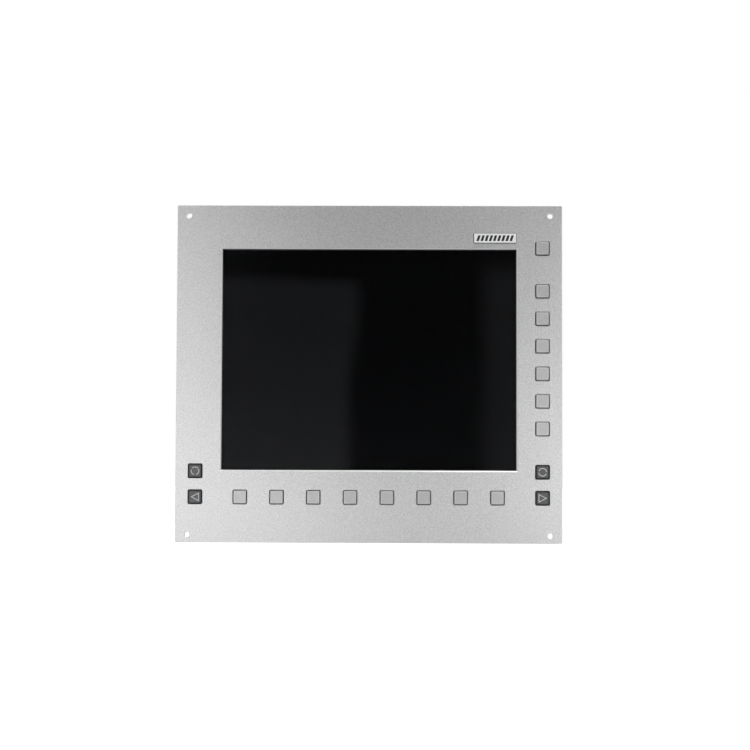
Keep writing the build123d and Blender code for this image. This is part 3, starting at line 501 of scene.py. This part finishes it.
def header_plastic(pins):
    """Green terminal header with tinned pins."""
    f = Finish("header_green")
    metal = f.inside_box(*pins)
    texture = f.noise(0.3 * MM, 2.0)
    flow = f.noise(4 * MM, 3.0)
    green = f.blend(f.span(flow, 0.3, 0.7), (0.02, 0.22, 0.08), (0.04, 0.32, 0.13))
    f.set(base_color=f.blend(metal, green, grey(0.75)), metallic=metal)
    f.set(roughness=f.span(texture, 0.3, 0.7, 0.34, 0.46))
    return f.bump(texture, 0.01 * MM, 0.4).material


# ---- mesh helpers -----------------------------------------------------------------------------
def piece(name, mesh, material, body):
    """Put a mesh in the scene, flat-shaded, riding on a body."""
    item = bpy.data.objects.new(name, mesh)
    bpy.context.scene.collection.objects.link(item)
    mesh.materials.clear()
    mesh.materials.append(material)
    for face in mesh.polygons:
        face.use_smooth = False
    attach(item, body)
    return item


def to_mesh(name, bm):
    """Turn a bmesh into a mesh with its faces outwards, and free it."""
    bmesh.ops.recalc_face_normals(bm, faces=bm.faces)
    mesh = bpy.data.meshes.new(name)
    bm.to_mesh(mesh)
    bm.free()
    return mesh


def prism(bm, outline, y0, y1):
    """Extrude a convex outline of (x, z) points from y0 to y1."""
    front = [bm.verts.new((x, y0, z)) for x, z in outline]
    back = [bm.verts.new((x, y1, z)) for x, z in outline]
    bm.faces.new(front)
    bm.faces.new(list(reversed(back)))
    count = len(outline)
    for i in range(count):
        j = (i + 1) % count
        bm.faces.new((front[j], front[i], back[i], back[j]))


def band(bm, outer, inner, y0, y1, closed=True):
    """A strip between two matching outlines, extruded from y0 to y1."""
    rings = [[bm.verts.new((x, y, z)) for x, z in line]
             for line, y in ((outer, y0), (inner, y0), (inner, y1), (outer, y1))]
    count = len(outer)
    for i in range(count if closed else count - 1):
        j = (i + 1) % count
        for k in range(4):
            a, b = rings[k], rings[(k + 1) % 4]
            bm.faces.new((a[i], a[j], b[j], b[i]))
    if not closed:
        bm.faces.new([ring[0] for ring in rings])
        bm.faces.new([ring[-1] for ring in reversed(rings)])


def rounded_box(bm, low, high, edge=0.0):
    """A box between two corners, its edges chamfered by edge."""
    centre, size = (Vector(low) + Vector(high)) / 2, Vector(high) - Vector(low)
    made = bmesh.ops.create_cube(bm, size=1.0)["verts"]
    for vert in made:
        vert.co = centre + Vector(c * s for c, s in zip(vert.co, size))
    if edge:
        edges = list({e for v in made for e in v.link_edges})
        bmesh.ops.bevel(bm, geom=edges, offset=edge, segments=2, affect="EDGES", profile=0.6)


def lathe(bm, profile, x, z, turns=48):
    """Turn a profile of (radius, y) points round an axis along Y."""
    rings = []
    for radius, y in profile:
        rings.append([bm.verts.new((x + radius * math.cos(a), y, z + radius * math.sin(a)))
                      for a in (2 * math.pi * i / turns for i in range(turns))])
    for a, b in zip(rings, rings[1:]):
        for i in range(turns):
            j = (i + 1) % turns
            bm.faces.new((a[i], a[j], b[j], b[i]))
    bm.faces.new(rings[0])
    bm.faces.new(list(reversed(rings[-1])))


def solids(node):
    """The boxes (low, high) of a node's separate solids, left to right."""
    bm = bmesh.new()
    bm.from_mesh(NODES[node].data)
    bmesh.ops.remove_doubles(bm, verts=bm.verts, dist=1e-6)
    left, boxes = set(bm.verts), []
    while left:
        group, edge = set(), [left.pop()]
        while edge:
            vert = edge.pop()
            group.add(vert)
            for link in vert.link_edges:
                other = link.other_vert(vert)
                if other in left:
                    left.discard(other)
                    edge.append(other)
        places = [v.co for v in group]
        boxes.append((Vector(min(c[i] for c in places) for i in range(3)),
                      Vector(max(c[i] for c in places) for i in range(3))))
    bm.free()
    return sorted(boxes, key=lambda box: (round(box[0].x, 5), round(box[0].z, 5)))


# ---- key symbols and badge --------------------------------------------------------------------
RIM_Y = lo(KEYS[0]).y                  # front of a key's rim
FACE_SUNK, ENGRAVED = 0.12 * MM, 0.3 * MM
RING_R, STROKE = 3.95 * MM, 0.95 * MM
RING_GAPS = {"screen_key_left": ((35, 9), (149, 25), (270, 34)),
             "screen_key_right": ((175, 28), (348, 28))}
ARROW_WAY = {"page_key_left": -1, "page_key_right": 1}
ARROW_TIP, ARROW_TAIL, ARROW_HALF = 4.7 * MM, 4.3 * MM, 4.6 * MM
ARC_STEP = 4                           # degrees between the points of an arc
INK_GAP = 0.03 * MM                    # ink stays this far inside its engraving
BAR_COUNT, BAR_PITCH, BAR_HALF, BAR_SLANT, BAR_RISE = 9, 4.3 * MM, 1.3 * MM, 1.0 * MM, 3.0 * MM


def ink_depths():
    """Where the ink in a key's engraving starts and ends along Y."""
    face = RIM_Y + FACE_SUNK
    return face + 2 * INK_GAP, face + ENGRAVED - INK_GAP


def ring_ink(key, gaps):
    """The arcs of a broken ring."""
    bm, centre = bmesh.new(), mid(key)
    half = STROKE / 2 - INK_GAP
    margin = math.degrees(INK_GAP / RING_R)
    for i, (turn, opening) in enumerate(gaps):
        next_turn, next_opening = gaps[(i + 1) % len(gaps)]
        if i + 1 == len(gaps):
            next_turn += 360
        start, end = turn + opening / 2 + margin, next_turn - next_opening / 2 - margin
        steps = max(8, int((end - start) / ARC_STEP))
        angles = [math.radians(start + (end - start) * s / steps) for s in range(steps + 1)]
        outer, inner = [[(centre.x + r * math.cos(a), centre.z + r * math.sin(a)) for a in angles]
                        for r in (RING_R + half, RING_R - half)]
        band(bm, outer, inner, *ink_depths(), closed=False)
    return bm


def inset_triangle(corners, distance):
    """A triangle shrunk about its incentre so that each side moves in by distance."""
    points = [Vector(c) for c in corners]
    sides = [(points[(i + 1) % 3] - points[(i + 2) % 3]).length for i in range(3)]
    incentre = sum((p * s for p, s in zip(points, sides)), Vector((0, 0))) / sum(sides)
    a, b = points[1] - points[0], points[2] - points[0]
    inradius = abs(a.x * b.y - a.y * b.x) / sum(sides)
    scale = (inradius - distance) / inradius
    return [tuple(incentre + (p - incentre) * scale) for p in points]


def arrow_ink(key, way):
    """The outline of a triangle that points left (way -1) or right (way 1)."""
    bm, centre = bmesh.new(), mid(key)
    tip, tail = centre.x + way * ARROW_TIP, centre.x - way * ARROW_TAIL
    outline = [(tip, centre.z), (tail, centre.z + ARROW_HALF), (tail, centre.z - ARROW_HALF)]
    band(bm, inset_triangle(outline, INK_GAP), inset_triangle(outline, STROKE - INK_GAP), *ink_depths())
    return bm


def make_symbols():
    """Ink in the dark keys' engraved rings and triangles."""
    ink = symbol_paint()
    for key, gaps in RING_GAPS.items():
        piece(f"{key}_symbol", to_mesh(key, ring_ink(key, gaps)), ink, key)
    for key, way in ARROW_WAY.items():
        piece(f"{key}_symbol", to_mesh(key, arrow_ink(key, way)), ink, key)


def make_badge_bars():
    """Enamel in the name plate's engraved bars."""
    bm, centre, front = bmesh.new(), mid("badge_plate"), lo("badge_plate").y
    half, rise = BAR_HALF - INK_GAP, BAR_RISE - INK_GAP
    for i in range(BAR_COUNT):
        x = centre.x + (i - (BAR_COUNT - 1) / 2) * BAR_PITCH
        prism(bm, [(x - half - BAR_SLANT, centre.z - rise), (x + half - BAR_SLANT, centre.z - rise),
                   (x + half + BAR_SLANT, centre.z + rise), (x - half + BAR_SLANT, centre.z + rise)],
              front + INK_GAP, front + ENGRAVED - INK_GAP)
    piece("badge_bars", to_mesh("badge_bars", bm), badge_enamel(), PANEL)


# ---- keypad mats ------------------------------------------------------------------------------
MAT_T = 1.0 * MM
SPACER_CLEARANCE = 0.6 * MM
# radius in mm, and share of the height from pad to sheet
DOME_WALL = ((3.1, 0.0), (3.35, 0.05), (3.6, 0.18), (4.1, 0.42), (4.7, 0.66), (5.2, 0.86), (5.45, 1.0))


def holed_sheet(name, low, high, y0, y1, holes):
    """A flat rectangular sheet with round holes, each (x, z, radius)."""
    curve = bpy.data.curves.new(name, "CURVE")
    curve.dimensions, curve.fill_mode, curve.extrude = "2D", "BOTH", (y1 - y0) / 2

    def loop(points):
        spline = curve.splines.new("POLY")
        spline.points.add(len(points) - 1)
        for spot, (x, z) in zip(spline.points, points):
            spot.co = (x, z, 0, 1)
        spline.use_cyclic_u = True

    loop([(low.x, low.z), (high.x, low.z), (high.x, high.z), (low.x, high.z)])
    for x, z, radius in holes:
        loop([(x + radius * math.cos(a), z + radius * math.sin(a))
              for a in (2 * math.pi * i / 32 for i in range(32))])
    holder = bpy.data.objects.new(name, curve)
    mesh = bpy.data.meshes.new_from_object(holder)
    bpy.data.objects.remove(holder)
    bpy.data.curves.remove(curve)
    for vert in mesh.vertices:
        vert.co = (vert.co.x, (y0 + y1) / 2 + vert.co.z, vert.co.y)
    bm = bmesh.new()
    bm.from_mesh(mesh)
    bpy.data.meshes.remove(mesh)
    bmesh.ops.remove_doubles(bm, verts=bm.verts, dist=1e-7)
    return to_mesh(name, bm)


def make_mats():
    """Silicone mats: a sheet on each key board, and a dome under each key."""
    rubber = silicone()
    spacers = solids("spacers")
    for mat in ("key_mat_bottom", "key_mat_right", "key_mat_left"):
        low, high = lo(mat), hi(mat)
        sheet_y = high.y - MAT_T
        holes = []
        for start, end in spacers:
            spot, radius = (start + end) / 2, (end.x - start.x) / 2
            if low.x < spot.x < high.x and low.z < spot.z < high.z:
                holes.append((spot.x, spot.z, radius + SPACER_CLEARANCE))
        mesh = holed_sheet(f"{mat}_sheet", low, high, sheet_y, high.y, holes)
        sheet = piece(f"{mat}_sheet", mesh, rubber, PANEL)
        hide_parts(mat)
        for key in KEYS:
            centre = mid(key)
            if low.x < centre.x < high.x and low.z < centre.z < high.z:
                make_dome(key, centre, sheet_y, rubber)


def make_dome(key, centre, sheet_y, rubber):
    """A domed wall rising from the sheet to a flat pad under the key's plunger."""
    top = hi(key).y
    rise = sheet_y - top
    bm = bmesh.new()
    lathe(bm, [(r * MM, top + share * rise) for r, share in DOME_WALL], centre.x, centre.z)
    dome = piece(f"{key}_dome", to_mesh(key, bm), rubber, PANEL)
    dome.data.shade_smooth()
    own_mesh(dome)


# ---- board details ----------------------------------------------------------------------------
PIN_W, PIN_T, PIN_PITCH, PIN_REACH = 0.35 * MM, 0.12 * MM, 0.8 * MM, 1.4 * MM
PIN_END_MARGIN = 0.8 * MM              # no pins this near a package's corners
TALL_PACKAGE = 3 * MM                  # packages taller than this have no pins


def chip_pins(bm, low, high, board_y, sides):
    """Gull-wing pins along a package's sides: each a foot on the board and a shoulder at the case."""
    shoulder, foot = board_y + (high.y - board_y) * 0.5, board_y + PIN_T
    profile = [(0.0, shoulder), (0.45 * PIN_REACH, shoulder), (0.6 * PIN_REACH, foot), (PIN_REACH, foot)]
    for axis, way in sides:
        along = 2 if axis == 0 else 0
        edge = high[axis] if way > 0 else low[axis]
        room = high[along] - low[along] - 2 * PIN_END_MARGIN
        count = max(2, int(room / PIN_PITCH))
        for i in range(count):
            spot = (low[along] + high[along]) / 2 + (i - (count - 1) / 2) * PIN_PITCH
            rows = []
            for side in (-PIN_W / 2, PIN_W / 2):
                for lift in (0.0, PIN_T):
                    line = []
                    for out, y in profile:
                        co = [0.0, y - lift, 0.0]
                        co[axis], co[along] = edge + way * out, spot + side
                        line.append(bm.verts.new(co))
                    rows.append(line)
            a, b, c, d = rows
            for one, two in ((a, b), (b, d), (d, c), (c, a)):
                for j in range(len(profile) - 1):
                    bm.faces.new((one[j], one[j + 1], two[j + 1], two[j]))
            bm.faces.new((a[0], b[0], d[0], c[0]))
            bm.faces.new((a[-1], c[-1], d[-1], b[-1]))


def make_chip_pins():
    """Pins on the low packages that sit on the video board: on four sides of the square ones."""
    board_y = hi("video_board").y
    bm = bmesh.new()
    for low, high in solids("board_chips"):
        size = high - low
        if abs(low.y - board_y) > 1e-5 or size.y > TALL_PACKAGE:
            continue
        square = abs(size.x - size.z) < 1 * MM
        sides = [(0, -1), (0, 1)] if size.z >= size.x else [(2, -1), (2, 1)]
        if square:
            sides = [(0, -1), (0, 1), (2, -1), (2, 1)]
        chip_pins(bm, low, high, board_y, sides)
    piece("chip_pins", to_mesh("chip_pins", bm), plated_steel("pin_tin", grey(0.72), 0.3),
          PANEL)


SMALL_SIZES = ((1.6, 0.8, 0.5), (2.0, 1.25, 0.7), (3.2, 1.6, 1.1))   # length, width, height in mm
SMALL_COUNTS = (("video_board", 110), ("power_board", 40))
SMALL_TRIES = 12                       # places tried for each part wanted
SMALL_GAP = 1.9 * MM                   # clear space round each part
BOARD_MARGIN = 4 * MM
CAP_SHARE, CAP_STEP = 0.22, 0.03 * MM  # end cap's share of the length, and how far it stands out


def make_small_parts():
    """Chip resistors and capacitors scattered between the packages, with tinned end caps."""
    rng = random.Random(11)
    taken = []
    for node in ("board_chips", "board_heatsink", "power_components", "m3_screws", "video_connector",
                 "serial_connector", "usb_connector", "power_connector", "display_lead",
                 "backlight_lead"):
        taken += solids(node)
    bodies, ends = bmesh.new(), bmesh.new()
    for board, wanted in SMALL_COUNTS:
        low, high = lo(board), hi(board)
        placed = 0
        for _ in range(wanted * SMALL_TRIES):
            if placed == wanted:
                break
            length, width, height = (v * MM for v in rng.choice(SMALL_SIZES))
            if rng.random() < 0.5:
                length, width = width, length
            x = round(rng.uniform(low.x + BOARD_MARGIN, high.x - BOARD_MARGIN), 4)
            z = round(rng.uniform(low.z + BOARD_MARGIN, high.z - BOARD_MARGIN), 4)
            a = Vector((x - length / 2, high.y, z - width / 2))
            b = Vector((x + length / 2, high.y + height, z + width / 2))
            if any(a.x - SMALL_GAP < q.x and b.x + SMALL_GAP > p.x
                   and a.z - SMALL_GAP < q.z and b.z + SMALL_GAP > p.z for p, q in taken):
                continue
            taken.append((a, b))
            placed += 1
            long_axis = 0 if length > width else 2
            cap = CAP_SHARE * (b[long_axis] - a[long_axis])
            mid_low, mid_high = a.copy(), b.copy()
            mid_low[long_axis] += cap
            mid_high[long_axis] -= cap
            mid_low[2 - long_axis] += CAP_STEP
            mid_high[2 - long_axis] -= CAP_STEP
            mid_high.y -= CAP_STEP
            rounded_box(bodies, mid_low, mid_high)
            for first in (True, False):
                end_low, end_high = a.copy(), b.copy()
                if first:
                    end_high[long_axis] = a[long_axis] + cap
                else:
                    end_low[long_axis] = b[long_axis] - cap
                rounded_box(ends, end_low, end_high, 0.05 * MM)
    ceramic = moulded("small_part_ceramic", (0.10, 0.07, 0.05), 0.4)
    piece("small_parts", to_mesh("small_parts", bodies), ceramic, PANEL)
    solder = plated_steel("solder", grey(0.70), 0.32)
    piece("small_part_ends", to_mesh("small_part_ends", ends), solder, PANEL)


# ---- threads ----------------------------------------------------------------------------------
STUD_R, STUD_PITCH, STUD_DEPTH = 2.0 * MM, 0.7 * MM, 0.4 * MM
STUD_HEAD_R, STUD_HEAD_T, STUD_NECK_R = 4.5 * MM, 2.0 * MM, 3.0 * MM
STUD_RELIEF_R, STUD_RELIEF = 1.65 * MM, 0.5 * MM       # plain groove before the first thread
SCREW_HEAD_H = 2.5 * MM


def make_earth_stud():
    """The earth stud with its thread, clinched head and neck, in place of the plain CAD one."""
    low, high, centre = lo("earth_stud"), hi("earth_stud"), mid("earth_stud")
    bay, shoulder = seat_of_bay(), low.y + STUD_HEAD_T
    start, root = bay + STUD_RELIEF, STUD_R - STUD_DEPTH
    profile = [(STUD_HEAD_R, low.y), (STUD_HEAD_R, shoulder), (STUD_NECK_R, shoulder), (STUD_NECK_R, bay),
               (STUD_RELIEF_R, bay), (STUD_RELIEF_R, start)]
    for i in range(int((high.y - bay - 2 * STUD_RELIEF) / STUD_PITCH)):
        y = start + i * STUD_PITCH
        profile += [(STUD_R, y + 0.38 * STUD_PITCH), (STUD_R, y + 0.52 * STUD_PITCH),
                    (root, y + 0.95 * STUD_PITCH)]
    profile += [(root, high.y)]
    bm = bmesh.new()
    lathe(bm, profile, centre.x, centre.z, 40)
    stud = piece("earth_stud_threaded", to_mesh("earth_stud", bm), brass(), PANEL)
    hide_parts("earth_stud")


def seat_of_bay():
    """How far back the connector bay's floor is: where the short cover screws' heads sit."""
    heads = [high.y for low, high in solids("cover_screws")]
    return min(heads) - SCREW_HEAD_H


# ---- which finish each node has ---------------------------------------------------------------
def insert_boxes():
    """Moulded parts of the two shelled connectors: the body and the insert inside the shell."""
    boxes = []
    for node, half_w, half_d in (("video_connector", 12.4, 3.9), ("serial_connector", 7.9, 3.7)):
        low, high, centre = lo(node), hi(node), mid(node)
        boxes.append(((low.x - 1, low.y - 1, high.z - 12.1 * MM),
                      (high.x + 1, high.y + 1, high.z + 1)))
        boxes.append(((centre.x - half_w * MM, centre.y - half_d * MM, low.z + 0.5 * MM),
                      (centre.x + half_w * MM, centre.y + half_d * MM, high.z)))
    return boxes


def assign(material, *nodes):
    """Give CAD nodes a finish."""
    for node in nodes:
        for slot in NODES[node].material_slots:
            slot.material = material
        if not NODES[node].material_slots:
            NODES[node].data.materials.append(material)


def dress_nodes():
    """Every CAD node gets its finish."""
    assign(blasted_aluminium(), "front_plate")
    assign(badge_metal(), "badge_plate")
    # Grey keys: the rim (0.72) is painted lighter than the face as a highlight, and the bevels and sides
    # (0.36) are painted darker as shade.
    assign(key_finish("key_grey", grey(0.61), grey(0.72), grey(0.36), 0.85), *GREY_KEYS)
    # Dark keys: the bevels and sides (0.05) are painted near black as shade; the rim (0.08) is darker than
    # the face.
    assign(key_finish("key_dark", (0.150, 0.150, 0.152), grey(0.080), grey(0.05), 0.6), *DARK_KEYS)
    assign(cover_glass(), "touch_glass")
    assign(display_black(), "lcd_cell")
    steel = rolled_steel("display_steel", (0.60, 0.60, 0.58))
    assign(steel, "lcd_bezel", "backlight_unit", "lcd_bracket_left", "lcd_bracket_right")
    assign(rolled_steel("chassis_zinc", (0.62, 0.63, 0.64), (0.6, 8.0, 8.0), 0.38), "chassis_plate")
    assign(galvanised_sheet(), "rear_cover")
    assign(foam("seal_foam", grey(0.035)), "panel_gasket", "lcd_pad")
    assign(foam("window_foam", grey(0.004)), "window_seal")
    assign(circuit_board(), "video_board", "power_board", "key_board_bottom", "key_board_right",
           "key_board_left")
    assign(plated_steel("screw_steel", (0.72, 0.73, 0.75)), "cover_screws", "m3_screws", "stud_nuts",
           "display_side_screws")
    assign(plated_steel("pillar_steel", (0.62, 0.63, 0.64), 0.34), "cover_pillars", "plate_studs")
    assign(brass(), "board_posts")
    assign(nylon(), "spacers")
    assign(moulded("chip_black", (0.014, 0.014, 0.015), 0.5), "board_chips")
    assign(black_anodised(), "board_heatsink")
    assign(capacitor_sleeve(), "power_components")
    assign(flat_lead("lead_film", (0.75, 0.74, 0.70), 1.0 * MM),
           "display_lead", "backlight_lead", "touch_tail")
    ribbon = mid("serial_connector").x
    assign(flat_lead("lead_grey", (0.34, 0.35, 0.37), 1.27 * MM,
                     (ribbon - 12.2 * MM, ribbon - 11.0 * MM, (0.45, 0.03, 0.03))), "keypad_leads")
    assign(socket_metal("connector_shell", (0.022, 0.022, 0.024), insert_boxes()),
           "video_connector", "serial_connector", "usb_connector")
    power = "power_connector"
    pins = ((lo(power).x + 2.5 * MM, mid(power).y - 0.65 * MM, lo(power).z),
            (hi(power).x - 2.5 * MM, mid(power).y + 0.65 * MM, lo(power).z + 9.0 * MM))
    assign(header_plastic(pins), power)


# ---- studio -----------------------------------------------------------------------------------
# Directions are (x, z) over the distance ahead of the panel.
ROOM_DIM, ROOM_BRIGHT = 0.012, 0.7
LEFT_FIELD, LEFT_FIELD_LOW, RIGHT_FIELD = 0.076, 0.120, 0.070
LEFT_FIELD_EDGE, LEFT_FIELD_TOP = (-0.034, -0.016), (0.098, 0.112)
RIGHT_FIELD_EDGE, RIGHT_FIELD_TOP = (0.064, 0.088), (0.105, 0.130)
FIELD_LEAN, FIELD_TILT = 0.008, 0.04


def studio_world():
    """White to the eye; to the panel, a dim room in front with two soft grey fields in it."""
    world = bpy.data.worlds.new("studio")
    bpy.context.scene.world = world
    world.use_nodes = True
    tree = world.node_tree
    tree.nodes.clear()

    def add(kind, inputs=None, **settings):
        node = tree.nodes.new(kind)
        for key, value in settings.items():
            setattr(node, key, value)
        for key, value in (inputs or {}).items():
            if isinstance(value, bpy.types.NodeSocket):
                tree.links.new(value, node.inputs[key])
            else:
                node.inputs[key].default_value = value
        return node

    def calc(operation, a, b=0.0):
        return add("ShaderNodeMath", {0: a, 1: b}, operation=operation).outputs[0]

    def step(value, a, b, c=0.0, d=1.0):
        return add("ShaderNodeMapRange", {"Value": value, "From Min": a, "From Max": b, "To Min": c,
                                          "To Max": d}, interpolation_type="SMOOTHSTEP").outputs[0]

    way = add("ShaderNodeSeparateXYZ", {"Vector": add("ShaderNodeTexCoord").outputs["Generated"]})
    x, y, z = way.outputs
    ahead = calc("MAXIMUM", calc("MULTIPLY", y, -1.0), 0.001)
    u, v = calc("DIVIDE", x, ahead), calc("DIVIDE", z, ahead)
    room = step(y, -0.75, 0.0, ROOM_DIM, ROOM_BRIGHT)
    across = calc("ADD", u, step(v, 0.02, 0.09, FIELD_LEAN, 0.0))
    top = calc("ADD", v, calc("MULTIPLY", u, FIELD_TILT))
    left = calc("MULTIPLY", step(across, *LEFT_FIELD_EDGE, 1.0, 0.0), step(top, *LEFT_FIELD_TOP, 1.0, 0.0))
    left = calc("MULTIPLY", left, step(v, 0.10, -0.05, LEFT_FIELD, LEFT_FIELD_LOW))
    right = calc("MULTIPLY", step(u, *RIGHT_FIELD_EDGE), step(v, *RIGHT_FIELD_TOP, 1.0, 0.0))
    right = calc("MULTIPLY", right, RIGHT_FIELD)
    fields = calc("MULTIPLY", calc("ADD", left, right), step(y, -0.95, -0.75, 1.0, 0.0))
    level = calc("ADD", room, fields)
    ahead_only = step(y, -0.97, -0.85, 1.0, 0.0)
    tint = add("ShaderNodeMix", {"Factor": ahead_only}, data_type="RGBA")
    tint.inputs[6].default_value, tint.inputs[7].default_value = (1, 1, 1, 1), (0.92, 0.95, 1.0, 1)
    seen = add("ShaderNodeLightPath").outputs["Is Camera Ray"]
    dim = add("ShaderNodeBackground", {"Color": tint.outputs[2], "Strength": level})
    white = add("ShaderNodeBackground", {"Color": (1, 1, 1, 1), "Strength": 1.0})
    mix = add("ShaderNodeMixShader", {0: seen, 1: dim.outputs[0], 2: white.outputs[0]})
    output = add("ShaderNodeOutputWorld")
    tree.links.new(mix.outputs[0], output.inputs["Surface"])


def softbox(name, place, aim, width, height, power):
    """A large soft lamp that the camera doesn't see."""
    data = bpy.data.lights.new(name, "AREA")
    data.shape, data.size, data.size_y, data.energy = "RECTANGLE", width, height, power
    lamp = bpy.data.objects.new(name, data)
    lamp.location = place
    lamp.rotation_euler = (Vector(aim) - Vector(place)).to_track_quat("-Z", "Y").to_euler()
    lamp.visible_camera = False
    bpy.context.scene.collection.objects.link(lamp)


# name: place, width, height in metres, and power in watts
FRONT_LAMPS = {
    "left_low": ((-0.56, -1.15, -0.21), 0.45, 0.45, 1.50),
    "left_high": ((-0.56, -1.15, 0.28), 0.45, 0.45, 1.12),
    "far_left": ((-1.05, -1.0, 0.0), 0.5, 0.7, 1.0),
    "right_low": ((0.53, -1.15, -0.21), 0.45, 0.45, 1.8),
    "right_high": ((0.53, -1.15, 0.28), 0.45, 0.45, 0.52),
    "far_right": ((1.05, -1.0, 0.0), 0.5, 0.7, 2.0),
    "foot": ((-0.17, -1.15, -0.31), 0.28, 0.24, 0.68),
    "overhead": ((0.1, -0.35, 0.95), 1.0, 0.35, 3.2),
    "badge_lamp": ((0.2, -0.25, 0.55), 0.15, 0.15, 0.4),
}
BACK_LAMPS = {
    "back_left": ((0.8, 1.2, 0.9), 0.8, 0.8, 12.0),
    "back_right": ((-1.0, 1.1, 0.3), 0.8, 0.8, 6.0),
}


def light_panel():
    """Lamps stand clear of what the glass mirrors to the camera, so no glare lies on the display."""
    for lamps in (FRONT_LAMPS, BACK_LAMPS):
        for name, (place, width, height, power) in lamps.items():
            softbox(name, place, (0, 0, 0), width, height, power)


FLOOR_Z, FLOOR_REACH = -0.46, 6.0


def make_floor():
    """A plain pale floor, which throws no light back up at the panel."""
    bm = bmesh.new()
    bmesh.ops.create_grid(bm, x_segments=24, y_segments=24, size=FLOOR_REACH)
    for vert in bm.verts:
        vert.co.z = FLOOR_Z
    mesh = to_mesh("floor", bm)
    f = Finish("pale_floor", roughness=0.9, emission_color=(1, 1, 1, 1), emission_strength=0.75)
    f.set(base_color=f.blend(f.span(f.noise(0.4, 3.0), 0.3, 0.7), grey(0.86), grey(0.90)))
    floor = bpy.data.objects.new("floor", mesh)
    mesh.materials.append(f.material)
    bpy.context.scene.collection.objects.link(floor)
    floor.visible_glossy = floor.visible_diffuse = False


CAMERA_PLACE = (0.0217, -1.2978, -0.0413)
CAMERA_TURN = (91.831, -0.209, 0.676)  # degrees
CAMERA_LENS = 60                       # mm


def make_camera():
    """In front of the panel, a little to its right and below its middle."""
    data = bpy.data.cameras.new("camera")
    data.lens, data.sensor_width, data.clip_end = CAMERA_LENS, 36, 50
    camera = bpy.data.objects.new("camera", data)
    camera.location = CAMERA_PLACE
    camera.rotation_euler = [math.radians(a) for a in CAMERA_TURN]
    bpy.context.scene.collection.objects.link(camera)
    bpy.context.scene.camera = camera


# ---- build ------------------------------------------------------------------------------------
make_camera()
dress_nodes()
make_symbols()
make_badge_bars()
make_mats()
make_chip_pins()
make_small_parts()
make_earth_stud()
make_floor()
studio_world()
light_panel()
bpy.context.scene.view_settings.view_transform = "Standard"
